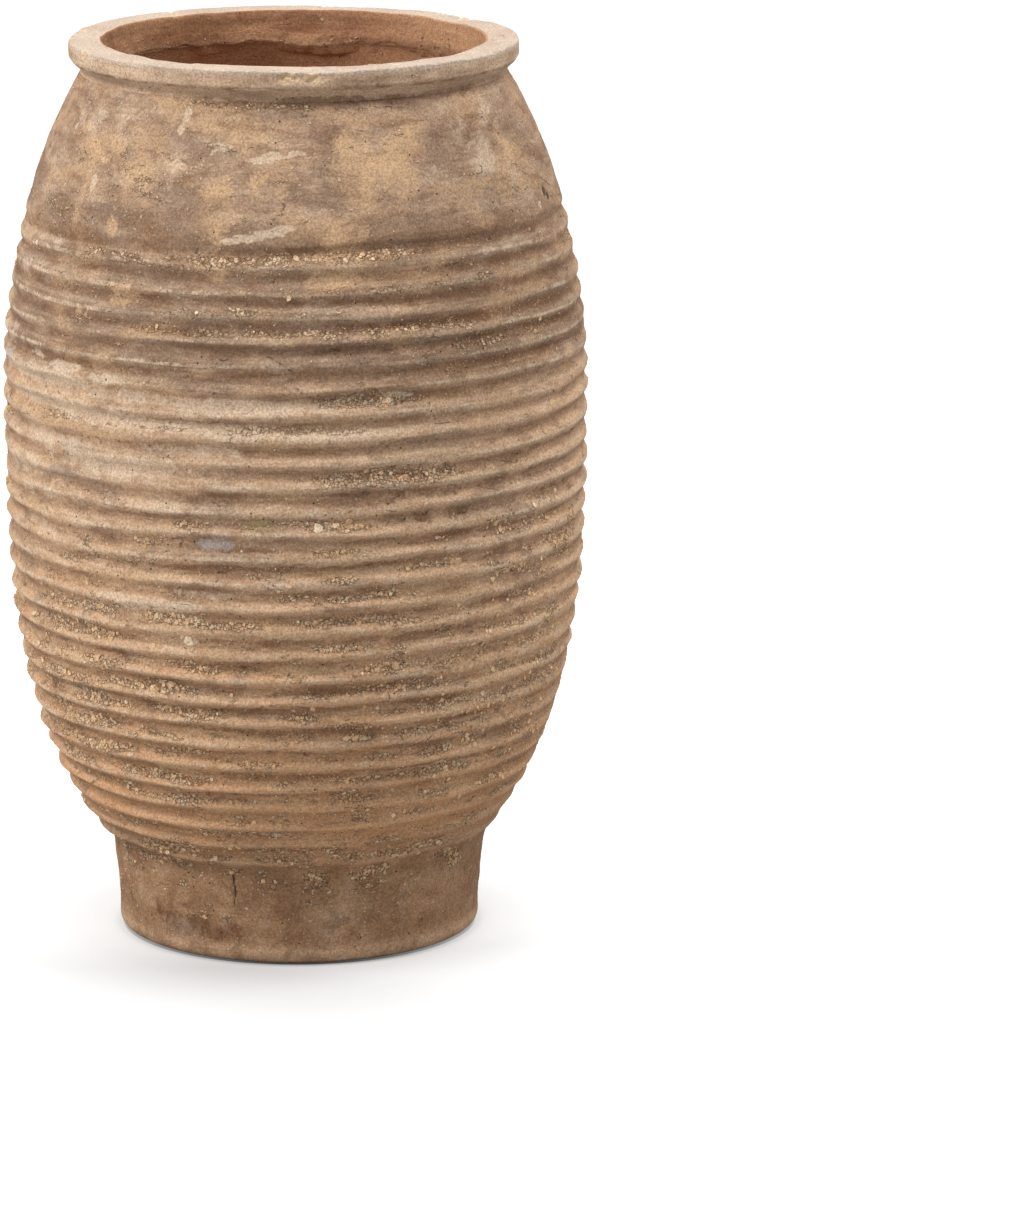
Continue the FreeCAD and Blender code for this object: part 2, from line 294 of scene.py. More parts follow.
# The lines that the pieces are turned to.
def wallLine(z):
    belly, foot, neck = jar["bellyRadius"], jar["footRadius"], jar["neckRadius"]
    below = (jar["bellyHeight"] - np.asarray(z, float)) / (jar["bellyHeight"] - bed["wall_drum_1"])
    above = (np.asarray(z, float) - jar["bellyHeight"]) / (bed["rim_ring"] - jar["bellyHeight"])
    inFoot = (belly ** 2 - foot ** 2) * np.clip(below, 0, 1) ** jar["lowerFullness"]
    inNeck = (belly ** 2 - neck ** 2) * np.clip(above, 0, 1) ** jar["upperFullness"]
    return np.sqrt(belly ** 2 - inFoot - inNeck)


def innerLine(z):
    return wallLine(z) - jar["ribDepth"] - jar["wall"]


def ribPhase(name, z):
    return (np.asarray(z, float) - bed[name]) / (topOf[name] - bed[name]) * ribCounts[name]


def crestness(name, z):
    # 1 on a rib's crest and 0 in a groove; low on the jar the crests are thin, high up they are full.
    share = (np.asarray(z, float) - bed["wall_drum_2"]) / (bed["shoulder_ring"] - bed["wall_drum_2"])
    sharpness = jar["sharpLow"] + (jar["sharpHigh"] - jar["sharpLow"]) * np.clip(share, 0, 1)
    return (0.5 - 0.5 * np.cos(2 * np.pi * ribPhase(name, z))) ** sharpness


def leeness(name, z):
    # 1 on the side of a rib that looks down, 0 on the side that looks up and gathers dust.
    return 0.5 + 0.5 * np.sin(2 * np.pi * ribPhase(name, z))


def rows(low, high, height):
    count = max(2, round(abs(high - low) / height))
    return [low + (high - low) * row / count for row in range(count + 1)]


def shares(count):
    return [part / count for part in range(1, count + 1)]


def keyUp(middle, z):
    half, rise = jar["keyWidth"] / 2, jar["keyHeight"]
    return [(middle + half, z), (middle + half, z + rise), (middle - half, z + rise), (middle - half, z)]


def keyDown(middle, z):
    half, rise = jar["keyWidth"] / 2 + jar["keyGap"], jar["keyHeight"] + jar["keyGap"]
    return [(middle - half, z), (middle - half, z + rise), (middle + half, z + rise), (middle + half, z)]


def keyMiddle(z):
    head = z + jar["keyHeight"] + jar["keyGap"]
    return (innerLine(head) + jar["keyInset"] + wallLine(z) - jar["ribDepth"]) / 2


def arc(centre, radius, startDegrees, endDegrees, parts=5):
    # The first point is left out: the line before the arc ends on it.
    angles = [math.radians(startDegrees + (endDegrees - startDegrees) * part / parts)
              for part in range(1, parts + 1)]
    return [(centre[0] + radius * math.cos(a), centre[1] + radius * math.sin(a)) for a in angles]


def ringOutline(outer, low, high):
    # The outside of a wall, closed by the key on its top, its inside and the groove under it.
    inner = [(innerLine(z), z) for z in rows(high, low, fine["innerRow"])]
    return outer + keyUp(keyMiddle(high), high) + inner + keyDown(keyMiddle(low), low)


def drumOutline(name):
    low, high = bed[name], topOf[name]
    outer = [(wallLine(z) - jar["ribDepth"] * (1 - crestness(name, z)), z)
             for z in rows(low, high, fine["row"])]
    outer[-1] = (wallLine(high) - jar["ribDepth"], high)
    return ringOutline(outer, low, high)


def shoulderOutline():
    low, high = bed["shoulder_ring"], topOf["shoulder_ring"]
    rise = (topOf["wall_drum_5"] - bed["wall_drum_5"]) / ribCounts["wall_drum_5"] / 2
    outer = []
    for z in rows(low, high, fine["row"]):
        share = min(1.0, (z - low) / rise)
        sunk = jar["ribDepth"] * (0.5 + 0.5 * math.cos(math.pi * share))
        outer.append((wallLine(z) - sunk, z))
    return ringOutline(outer, low, high)


def rimOutline():
    low, high = bed["rim_ring"], bed["top"]
    soft, lip, mouth = jar["lipRound"], jar["lipRadius"], jar["mouthRadius"]
    neck = [(jar["neckRadius"], z) for z in rows(low, low + jar["neckLand"], fine["neckRow"])]
    hollow = (neck[-1][0], high - jar["lipFace"] + jar["lipSoft"])
    width, fall = lip - hollow[0], hollow[1] - neck[-1][1]
    underside = [(hollow[0] + width * t * t * (3 - 2 * t), neck[-1][1] + fall * t)
                 for t in shares(fine["underLip"])]
    face = [(lip, z) for z in rows(hollow[1], high - soft, fine["faceRow"])][1:]
    outside = arc((lip - soft, high - soft), soft, 0, 90)
    top = [(r, high) for r in rows(lip - soft, mouth + soft, fine["topRing"])][1:]
    inside = arc((mouth + soft, high - soft), soft, 90, 180)
    inner = [(mouth + (innerLine(low) - mouth) * t, high - soft + (low - high + soft) * t)
             for t in shares(fine["insideLip"])]
    return neck + underside + face + outside + top + inside + inner + keyDown(keyMiddle(low), low)


def footOutline():
    low, high = bed["foot_ring"], topOf["foot_ring"]
    waist = jar["footRadius"] - jar["footStep"]
    base = waist - jar["footTaper"]
    bore = base - jar["footWall"]
    turn = low + jar["footBand"]
    groove = wallLine(high) - jar["ribDepth"]
    outer = [(base + (waist - base) * (z - low) / jar["footBand"], z) for z in rows(low, turn, fine["row"])]
    outer += [(waist + (groove - waist) * ((z - turn) / (high - turn)) ** jar["footSweep"], z)
              for z in rows(turn, high, fine["row"])][1:]
    bevel = (innerLine(high) - bore) / (high - low)
    inner = [(bore + bevel * (z - low), z) for z in rows(high, low, fine["innerRow"])]
    return outer + keyUp(keyMiddle(high), high) + inner + keyDown((base + bore) / 2, low)


def baseOutline():
    high = bed["foot_ring"]
    edge = jar["footRadius"] - jar["footStep"] - jar["footTaper"]
    soft = jar["baseRound"]
    bore = edge - jar["footWall"]
    under = [(r, 0.0) for r in rows(0.0, edge - soft, fine["floorRing"])]
    corner = arc((edge - soft, soft), soft, -90, 0, 8)
    side = [(edge, z) for z in rows(soft, high, fine["row"])][1:]
    floor = [(r, high) for r in rows(bore, 0.0, fine["floorRing"])]
    return under + corner + side + keyUp((edge + bore) / 2, high) + floor


def turned(name, outline, closed=True):
    # A single point is drawn along the outline by extruding, then turned round the jar's axis.
    bpy.ops.object.select_all(action="DESELECT")
    bpy.ops.mesh.primitive_plane_add(size=0.01, location=(0, 0, 0))
    piece = bpy.context.object
    piece.name = name
    piece.data.name = name
    bpy.ops.object.mode_set(mode="EDIT")
    bpy.ops.mesh.select_all(action="SELECT")
    bpy.ops.mesh.merge(type="CENTER")
    here = np.array(outline[0], float)
    bpy.ops.transform.translate(value=(here[0], 0, here[1]))
    for place in outline[1:]:
        step = np.array(place, float) - here
        bpy.ops.mesh.extrude_region_move(TRANSFORM_OT_translate={"value": (step[0], 0, step[1])})
        here += step
    if closed:
        bpy.ops.object.mode_set(mode="OBJECT")
        last = len(piece.data.vertices) - 1
        for vertex in piece.data.vertices:
            vertex.select = vertex.index in (0, last)
        bpy.ops.object.mode_set(mode="EDIT")
        bpy.ops.mesh.edge_face_add()
    bpy.ops.object.mode_set(mode="OBJECT")
    lathe = piece.modifiers.new("lathe", "SCREW")
    lathe.steps = fine["steps"]
    lathe.render_steps = fine["steps"]
    lathe.use_merge_vertices = True
    lathe.merge_threshold = fine["weld"]
    bpy.ops.object.modifier_apply(modifier=lathe.name)
    bpy.ops.object.mode_set(mode="EDIT")
    bpy.ops.mesh.select_all(action="SELECT")
    bpy.ops.mesh.remove_doubles(threshold=fine["weld"])
    bpy.ops.mesh.normals_make_consistent(inside=False)
    bpy.ops.object.mode_set(mode="OBJECT")
    bpy.ops.object.shade_smooth_by_angle(angle=math.radians(fine["softEdge"]))
    return piece


def points(piece):
    flat = np.empty(len(piece.data.vertices) * 3)
    piece.data.vertices.foreach_get("co", flat)
    return flat.reshape(-1, 3)


def paint(piece, name, values):
    layer = piece.data.attributes.new(name, "FLOAT", "POINT")
    layer.data.foreach_set("value", np.asarray(values, dtype=np.float32))


# Where the outside of a ring ends and its inside starts, and how the plain rings take the dirt.
marks = {"blend": 0.004, "rimInset": 0.0025, "footMiddle": 0.170, "footLean": 0.14, "baseMiddle": 0.160,
         "plainCrest": 0.35, "plainLee": 0.32, "shoulderEase": 0.010, "footEase": 0.015, "chipReach": 0.011,
         "chipFull": 1.6}


def markFaces(piece, name):
    # outer is 1 on the outside of the wall and 0 inside; crest is 1 on a rib's crest and 0 in a groove.
    co = points(piece)
    radius = np.hypot(co[:, 0], co[:, 1])
    height = co[:, 2]
    middle = wallLine(height) - jar["ribDepth"] - jar["wall"] / 2
    crest = np.full(len(co), 0.5)
    lee = np.full(len(co), 0.5)
    if name in ribCounts:
        crest = crestness(name, height)
        lee = leeness(name, height)
    if name == "rim_ring":
        middle = jar["mouthRadius"] + marks["rimInset"]
    if name == "base_disc":
        middle = marks["baseMiddle"]
    if name == "shoulder_ring":
        crest = marks["plainCrest"] * np.clip((height - bed[name]) / marks["shoulderEase"], 0, 1)
        lee = np.full(len(co), marks["plainLee"])
    if name == "foot_ring":
        middle = marks["footMiddle"] + (height - bed[name]) * marks["footLean"]
        crest = marks["plainCrest"] * np.clip((topOf[name] - height) / marks["footEase"], 0, 1)
        lee = np.full(len(co), marks["plainLee"])
    outer = np.clip((radius - middle) / marks["blend"] + 0.5, 0, 1)
    for layer, values in (("outer", outer), ("crest", crest), ("lee", lee)):
        paint(piece, layer, values)
    angle = np.degrees(np.arctan2(co[:, 0], -co[:, 1]))
    for layer, strokes in weathering.items():
        paint(piece, layer, brushed(angle, height, strokes) * outer)
    corner = np.hypot(radius - jar["lipRadius"], height - bed["top"])
    chipped = np.clip(marks["chipFull"] - corner / marks["chipReach"], 0, 1)
    paint(piece, "chip", brushed(angle, height, lipChips) * chipped)


# Weathering, as soft strokes of the brush. Angles are in degrees from the front, positive to the right, and
# the rest in millimetres: (angle, height, half width in degrees, half height, strength).
weathering = {
    "ochre": [(-17, 768, 3.5, 32, 1.0), (-5, 795, 7, 12, 0.8), (15, 805, 5, 38, 1.0),
              (24, 802, 5, 24, 1.0), (28, 826, 3, 16, 0.8), (10, 745, 4.5, 17, 1.0), (6, 728, 4, 6, 0.7),
              (-50, 815, 7, 14, 0.8), (-38, 800, 6, 10, 0.8), (-30, 806, 5, 8, 0.7),
              (-54, 766, 1.1, 26, 0.8), (-42, 746, 1.5, 9, 0.9), (-62, 795, 4, 18, 0.5),
              (58, 815, 2.6, 26, 0.8), (-12, 838, 6, 10, 0.5), (5, 845, 5, 8, 0.4), (-17, 715, 4, 10, 0.9),
              (-12, 692, 3, 8, 0.6), (-37, 686, 4, 13, 0.8), (8, 706, 5, 9, 0.8), (-62, 640, 5, 8, 0.5),
              (-48, 662, 3, 7, 0.6), (-14, 660, 4, 6, 0.5), (30, 700, 5, 6, 0.4), (-45, 592, 8, 4, 0.9),
              (-52, 553, 10, 5, 0.9), (-38, 549, 8, 4, 0.8), (-58, 520, 1.6, 4, 0.9),
              (-21, 525, 2.5, 5, 0.9), (8, 440, 4, 5, 0.6), (-40, 402, 5, 8, 0.8), (-33, 408, 4, 5, 0.7),
              (-24, 392, 5, 5, 0.5), (6, 372, 6, 5, 0.5), (-28, 216, 6, 5, 0.8), (-36, 180, 6, 5, 0.8),
              (-26, 290, 5, 8, 0.7), (-12, 250, 4, 8, 0.5), (12, 300, 5, 5, 0.5), (30, 385, 8, 6, 0.5),
              (-50, 250, 6, 7, 0.6), (52, 430, 6, 10, 0.4), (-66, 420, 6, 8, 0.6), (-60, 300, 5, 8, 0.7),
              (40, 240, 8, 8, 0.4), (-8, 165, 6, 5, 0.5), (62, 330, 5, 9, 0.4), (-70, 560, 5, 8, 0.7)],
    "grey": [(-27, 772, 7, 24, 0.9), (-10, 744, 14, 13, 1.0), (10, 786, 5.5, 15, 1.0),
             (-41, 772, 6, 20, 0.8), (36, 826, 3, 15, 0.8), (45, 800, 5, 24, 0.45), (52, 778, 6, 18, 0.5),
             (-10, 824, 14, 7, 0.6), (-34, 838, 9, 12, 0.5), (-62, 755, 9, 18, 0.6),
             (26, 752, 12, 12, 0.7), (42, 735, 16, 7, 0.8), (-30, 705, 9, 9, 0.8), (-3, 700, 9, 9, 0.7),
             (22, 715, 9, 10, 0.8), (-25, 668, 16, 12, 0.8), (8, 665, 16, 12, 0.8), (38, 680, 14, 14, 0.8),
             (-35, 636, 22, 10, 0.9), (5, 632, 20, 12, 0.9), (36, 632, 16, 14, 0.9),
             (-52, 650, 14, 14, 0.7), (-13, 603, 13, 7, 1.0), (12, 606, 14, 6, 0.7), (-46, 531, 7, 4, 0.9),
             (-50, 506, 7, 4, 0.8), (-17, 516, 3, 3, 0.6), (-16, 447, 4, 6, 1.0), (14, 500, 9, 6, 0.7),
             (0, 530, 10, 4, 0.7), (30, 548, 12, 5, 0.8), (-8, 470, 7, 5, 0.6), (24, 470, 12, 6, 0.6),
             (-42, 34, 11, 14, 0.7), (10, 60, 26, 28, 0.5)],
    "pale": [(49, 808, 5, 24, 0.6), (43, 834, 4, 14, 0.6), (56, 786, 6, 16, 0.5), (38, 760, 4, 14, 0.4),
             (-58, 838, 8, 12, 0.6), (-28, 806, 2.4, 14, 0.7), (-46, 842, 5, 8, 0.5),
             (56, 842, 4, 14, 0.6), (-64, 594, 22, 9, 1.0), (-36, 586, 14, 6, 0.8), (-8, 583, 16, 7, 1.0),
             (-55, 569, 20, 7, 0.9), (-30, 562, 24, 6, 1.0), (2, 557, 22, 5, 0.8), (30, 572, 14, 5, 0.5),
             (-60, 535, 18, 8, 0.7), (-38, 520, 16, 12, 0.9), (-20, 540, 14, 5, 0.7),
             (-66, 500, 12, 12, 0.7), (-14, 505, 12, 5, 0.6), (-55, 478, 16, 7, 0.6),
             (-28, 484, 10, 5, 0.5), (0, 484, 14, 4, 0.5), (-60, 440, 12, 8, 0.5), (-30, 384, 12, 5, 0.8),
             (-18, 398, 10, 4, 0.6), (4, 410, 14, 4, 0.5), (-45, 362, 8, 6, 0.5), (-60, 722, 10, 5, 0.5),
             (32, 500, 12, 5, 0.4), (-70, 690, 8, 10, 0.4), (-76, 800, 8, 40, 0.4), (45, 715, 8, 4, 0.5),
             (60, 700, 8, 6, 0.4), (-34, 330, 10, 5, 0.4), (-50, 280, 12, 5, 0.5)],
    # The dark strokes are grime and soot, and also painted shade: the broad ones on the right side and the
    # ones under the lip.
    "dark": [(12, 868, 20, 6, 0.8), (2, 867, 24, 5, 0.6), (42, 868, 16, 5, 0.6), (-24, 868, 18, 4, 0.5),
             (30, 738, 20, 5, 1.0), (46, 660, 34, 80, 0.6), (34, 500, 40, 60, 0.40), (0, 733, 12, 4, 0.6),
             (45, 520, 12, 4, 0.7), (38, 450, 14, 4, 0.7), (8, 500, 9, 4, 0.6), (-12, 498, 8, 4, 0.6),
             (40, 600, 16, 5, 0.6), (28, 625, 14, 4, 0.6), (-18, 425, 10, 3, 1.0), (0, 424, 14, 3, 0.8),
             (20, 425, 12, 3, 0.7), (-12, 443, 8, 3, 0.7), (5, 400, 12, 3, 0.6), (-3, 352, 8, 4, 0.7),
             (-15, 352, 6, 3, 0.7), (24, 352, 6, 4, 1.0), (34, 352, 5, 3, 0.6), (-38, 330, 8, 3, 0.8),
             (-12, 326, 8, 3, 0.7), (5, 302, 10, 3, 0.8), (-30, 305, 8, 3, 0.7), (-8, 281, 14, 3, 0.9),
             (5, 281, 8, 3, 0.9), (28, 283, 8, 3, 0.8), (-20, 262, 12, 3, 0.7), (0, 258, 14, 4, 0.8),
             (10, 262, 10, 3, 0.7), (38, 262, 6, 4, 1.0), (-42, 255, 6, 3, 0.7), (-35, 240, 10, 3, 0.7),
             (-10, 237, 14, 3, 0.7), (25, 237, 14, 3, 0.7), (55, 275, 6, 4, 0.9), (57, 300, 5, 4, 0.7),
             (46, 332, 6, 3, 0.6), (43, 377, 6, 3, 0.8), (-2, 210, 16, 3, 0.8), (22, 215, 12, 3, 0.8),
             (-15, 215, 10, 3, 0.7), (45, 213, 10, 3, 0.7), (-36, 195, 10, 3, 0.7), (0, 192, 16, 3, 0.7),
             (30, 195, 12, 3, 0.7), (-20, 175, 14, 3, 0.6), (10, 172, 16, 3, 0.6), (60, 262, 5, 4, 0.9),
             (-55, 330, 6, 3, 0.6), (30, 430, 8, 3, 0.7), (-40, 470, 8, 4, 0.5), (62, 400, 6, 4, 0.6),
             (58, 470, 8, 4, 0.6), (60, 640, 9, 12, 0.4), (-46, 152, 10, 3, 0.6), (-10, 130, 16, 4, 0.8),
             (22, 132, 16, 4, 0.8), (0, 150, 14, 3, 0.6)],
    "speckled": [(-45, 41, 8, 11, 1.0), (-37, 43, 6, 11, 0.9), (-27, 33, 6, 11, 1.0), (-22, 32, 4, 9, 0.9),
                 (4, 22, 7, 7, 0.6), (34, 48, 5, 17, 0.6), (-6, 52, 8, 14, 0.35), (24, 30, 6, 9, 0.4),
                 (-62, 92, 6, 10, 0.5), (16, 66, 8, 12, 0.4), (46, 34, 7, 12, 0.4)],
    "crack": [(-20.4, 89, 0.35, 6, 1.0), (-20.0, 76, 0.35, 8, 1.0), (-20.4, 63, 0.3, 5, 0.8),
              (71, 757, 0.9, 4.5, 1.0), (72.5, 751, 0.6, 4, 1.0), (-46, 894, 3, 0.8, 0.5),
              (104, 70, 0.4, 20, 0.9), (190, 866, 0.4, 12, 0.8), (236, 520, 0.5, 9, 0.8)],
    "lime": [(-10, 881.5, 4, 1.1, 1.0), (-28, 855, 1.0, 9, 1.0), (-28.8, 840, 0.7, 4, 0.9),
             (-8, 815, 3, 3.0, 1.0), (-4, 819, 3.4, 3.0, 1.0), (0, 822, 3.0, 2.4, 1.0),
             (-13.5, 742, 1.8, 3.6, 1.0), (-10, 745, 3.2, 3.8, 1.0), (-6, 749, 3.2, 3.4, 1.0),
             (-2.5, 753, 2.4, 2.6, 1.0), (-19, 822, 3, 10, 0.45), (-40, 389, 4, 3.0, 0.9),
             (-34, 389, 4, 3.0, 0.9), (-28, 388, 4, 2.6, 0.8), (-22, 387, 3, 2.2, 0.7),
             (-51, 783, 0.8, 8, 1.0), (-50, 806, 0.5, 3, 0.8), (-66, 828, 0.6, 3, 0.8),
             (-70, 716, 1.2, 3, 0.7), (-52, 607, 6, 4, 0.8), (-40, 601, 6, 4.4, 0.8),
             (-60, 612, 4, 4, 0.5), (8, 586, 3, 4, 0.7), (18, 590, 3.4, 4, 0.8), (7, 516, 5, 2.5, 0.6),
             (20, 506, 6, 5, 0.5), (9, 466, 3, 3.4, 0.9), (6, 463, 1.6, 3, 0.9), (-22, 352, 1.7, 3.6, 1.0),
             (-25, 372, 8, 3, 0.6), (-45, 376, 4, 4, 0.6), (66, 748, 1.0, 5, 0.7), (50, 452, 2, 2.4, 0.6),
             (-60, 504, 1.5, 3, 0.6)],
    "gritty": [(-55, 300, 26, 120, 0.40), (-20, 240, 40, 100, 0.30), (38, 280, 34, 120, 0.42),
               (0, 400, 20, 60, 0.20), (20, 180, 50, 40, 0.34), (56, 420, 14, 60, 0.34),
               (-30, 716, 30, 6, 0.8), (5, 722, 22, 5, 0.9), (-45, 690, 20, 8, 0.5), (10, 692, 26, 5, 0.8),
               (-20, 655, 26, 8, 0.5), (20, 652, 22, 8, 0.6), (48, 640, 18, 24, 0.4),
               (-12, 672, 20, 4, 0.5), (14, 588, 9, 6, 1.0), (18, 512, 12, 9, 0.9), (-3, 560, 14, 4, 0.5),
               (-40, 556, 26, 5, 0.5), (8, 466, 5, 5, 1.0), (3, 470, 5, 3, 0.8), (42, 454, 3, 4, 1.0),
               (30, 448, 2, 4, 0.9), (45, 444, 3, 3, 0.8), (7, 440, 4, 4, 0.9), (8, 412, 4, 4, 0.9),
               (27, 420, 6, 3, 0.8), (10, 394, 4, 4, 1.0), (16, 398, 5, 3, 0.8), (46, 404, 6, 4, 1.0),
               (6, 372, 6, 5, 1.0), (13, 374, 4, 4, 0.9), (51, 378, 4, 4, 0.9), (8, 346, 5, 5, 0.9),
               (19, 341, 3, 3, 0.8), (17, 322, 4, 4, 1.0), (31, 317, 3, 5, 0.9), (36, 333, 2, 4, 0.8),
               (20, 303, 7, 4, 0.8), (31, 282, 2, 6, 0.9), (44, 290, 3, 5, 0.8), (12, 263, 5, 4, 0.9),
               (13, 251, 4, 4, 0.8), (45, 266, 8, 5, 0.8), (60, 335, 4, 5, 0.9), (64, 305, 5, 8, 0.8),
               (40, 234, 3, 8, 0.8), (35, 215, 4, 6, 0.8), (56, 240, 6, 6, 0.9), (62, 215, 6, 6, 0.9),
               (52, 178, 6, 5, 0.9), (66, 420, 7, 20, 0.7), (58, 385, 5, 8, 0.8), (-38, 428, 7, 4, 1.0),
               (-30, 449, 5, 5, 0.8), (-21, 467, 4, 4, 0.8), (-45, 375, 6, 5, 1.0), (-52, 352, 9, 9, 1.0),
               (-42, 350, 6, 6, 0.9), (-26, 374, 6, 5, 1.0), (-15, 368, 6, 5, 1.0), (-44, 316, 5, 6, 1.0),
               (-24, 329, 4, 4, 1.0), (-19, 323, 3, 4, 0.9), (-38, 298, 6, 4, 1.0), (-58, 293, 9, 7, 1.0),
               (-51, 285, 7, 5, 1.0), (-28, 301, 4, 5, 1.0), (-47, 274, 7, 5, 1.0), (-26, 279, 5, 4, 1.0),
               (-20, 277, 4, 4, 0.9), (-50, 251, 5, 6, 1.0), (-62, 262, 6, 6, 1.0), (-42, 227, 4, 5, 1.0),
               (-24, 236, 5, 5, 1.0), (-50, 224, 9, 5, 1.0), (-34, 206, 7, 4, 1.0), (-26, 203, 5, 4, 0.9),
               (-62, 205, 8, 6, 0.9), (-50, 190, 9, 5, 0.9), (-30, 181, 9, 5, 0.9), (0, 275, 5, 5, 0.7),
               (2, 330, 5, 5, 0.6), (0, 408, 4, 4, 0.7), (3, 386, 4, 4, 0.6), (-8, 222, 6, 4, 0.6),
               (12, 205, 8, 4, 0.5), (-44, 150, 12, 6, 0.9), (-20, 148, 12, 5, 0.7),
               (-36, 126, 12, 6, 1.0), (-4, 128, 18, 5, 0.9), (24, 130, 14, 5, 0.8), (46, 132, 10, 5, 0.8),
               (-42, 116, 6, 7, 1.0), (-38, 104, 5, 5, 1.0), (-25, 108, 4, 4, 0.8), (-20, 98, 3, 4, 0.8),
               (-11, 112, 3, 5, 0.9), (-11, 97, 2, 4, 0.8), (5, 107, 6, 5, 1.0), (4, 94, 3, 4, 0.9),
               (4, 79, 3, 5, 0.8), (9, 78, 2, 4, 0.7), (2, 66, 2, 4, 0.6), (19, 92, 4, 4, 0.9),
               (24, 98, 4, 6, 0.9), (40, 112, 7, 5, 1.0), (38, 122, 5, 4, 0.9), (50, 100, 4, 7, 0.9),
               (55, 88, 3, 9, 0.7), (-28, 46, 6, 4, 0.6), (-34, 112, 30, 6, 0.5), (10, 114, 30, 7, 0.5),
               (-12, 84, 20, 8, 0.35), (22, 74, 14, 8, 0.35), (-44, 78, 8, 10, 0.4),
               (-52, 100, 6, 14, 0.6), (-66, 80, 6, 30, 0.4), (-60, 760, 10, 20, 0.35),
               (-34, 800, 14, 20, 0.3), (-12, 864, 18, 3, 0.7), (14, 861, 14, 3, 0.4),
               (66, 790, 8, 16, 0.4)],
    "smooth": [(50, 700, 3, 26, 0.7), (-40, 520, 17, 11, 1.0), (-58, 515, 10, 12, 0.8),
               (-30, 402, 12, 6, 0.5), (-20, 384, 12, 4, 0.4)],
    "bluish": [(-16, 447, 3.4, 5, 1.0), (-55, 500, 2, 4, 0.7), (-78, 600, 4, 6, 0.5)],
    "lichen": [(-7, 467, 3.0, 5.5, 1.0), (52, 610, 3, 5, 0.5)],
}
lipChips = [(-1.3, 894, 2.5, 5, 1.0), (4.5, 893, 2.0, 6, 1.0), (-27, 898, 0.9, 6, 0.4),
            (38, 897, 1.0, 6, 0.4), (72, 897, 1.6, 7, 0.5), (128, 896, 2.4, 7, 0.9), (171, 897, 1.2, 6, 0.7),
            (214, 896, 1.8, 7, 0.9), (255, 897, 1.0, 6, 0.8), (292, 896, 1.4, 7, 0.7)]
# Round the back, which the photograph doesn't show, strokes of the same kinds lie at random: how many, from
# what height to what height, half width, half height and strength.
turnedAway = {"ochre": (60, 130, 790, 5, 12, 0.7), "grey": (48, 130, 800, 10, 14, 0.8),
              "pale": (36, 240, 640, 14, 7, 0.7), "dark": (90, 120, 860, 12, 4, 0.8),
              "lime": (30, 200, 850, 2.2, 4, 0.8), "speckled": (12, 20, 90, 6, 10, 0.6),
              "gritty": (150, 90, 730, 6, 6, 0.9), "smooth": (5, 380, 640, 12, 9, 0.8),
              "bluish": (4, 300, 820, 4, 7, 0.6), "lichen": (3, 200, 640, 3, 5, 0.6)}
behind = {"from": 82, "to": 278, "small": 0.5, "large": 1.5, "faint": 0.6, "strong": 1.3, "seed": 41}
brush = {"edge": 1.9, "fade": 1.5}


def strokesBehind():
    dice = np.random.default_rng(behind["seed"])
    for layer, (count, low, high, width, tall, strength) in turnedAway.items():
        for _ in range(count):
            grow = dice.uniform(behind["small"], behind["large"])
            weathering[layer].append((dice.uniform(behind["from"], behind["to"]), dice.uniform(low, high),
                                      width * grow, tall * dice.uniform(behind["small"], behind["large"]),
                                      strength * dice.uniform(behind["faint"], behind["strong"])))


def brushed(angle, height, strokes):
    # Each stroke is full in its middle and fades out evenly towards its edge.
    total = np.zeros(len(angle))
    for middle, z, halfWidth, halfHeight, strength in strokes:
        near = np.abs(height * 1000 - z) < halfHeight * brush["edge"]
        across = (angle[near] - middle + 180) % 360 - 180
        reach = np.hypot(across / halfWidth, (height[near] * 1000 - z) / halfHeight)
        share = np.clip((brush["edge"] - reach) / brush["fade"], 0, 1)
        total[near] = np.maximum(total[near], strength * share * share * (3 - 2 * share))
    return np.clip(total, 0, 1)


strokesBehind()


# Where one shape or finish fades into the next, in metres: up the jar, and across it with the left below 0.
fades = {"onFloor": (0.0, 0.02), "loose": (0.03, 0.14), "held": (0.74, 0.885), "lowRibs": (0.46, 0.34),
         "ribSides": (0.20, -0.16), "lipWave": (0.864, 0.884), "lipTop": (0.888, 0.898),
         "hairlines": (0.15, 0.22), "footEdge": (0.034, 0.022), "onFoot": (0.13, 0.09),
         "aboveFoot": (0.10, 0.30), "fullCrests": (0.25, 0.60), "highCrests": (0.16, 0.42),
         "leftCrests": (0.04, -0.14),
         "lowCrust": (0.60, 0.54), "paleLip": (0.882, 0.888), "dirtyLip": (0.896, 0.890),
         "flatLip": (0.8945, 0.8970), "faceStart": (0.8845, 0.8880), "faceEnd": (0.8965, 0.8945),
         "dullFace": (-0.14, -0.06), "insideLitBelowNeck": (0.872, 0.858), "insideLit": (0.868, 0.876),
         "litSide": (0.02, 0.17), "tideMark": (0.874, 0.870)}
lipSeam = 0.8835

# What the potter's hands leave: ribs worn or proud, mounds of crust, nicks, chips and cracks, in metres.
# Only chipFall isn't: it is how far the lip's edge falls for each part that it loses in width.
hand = {"tilt": 0.0032, "ribProud": 0.0017, "ribWorn": 0.0013, "rubbed": 0.0030, "crust": 0.0010,
        "nicks": 0.0016, "chips": 0.0032, "chipFall": 0.6, "crack": 0.0016, "lipSink": 0.0018,
        "drawIn": 0.0013}
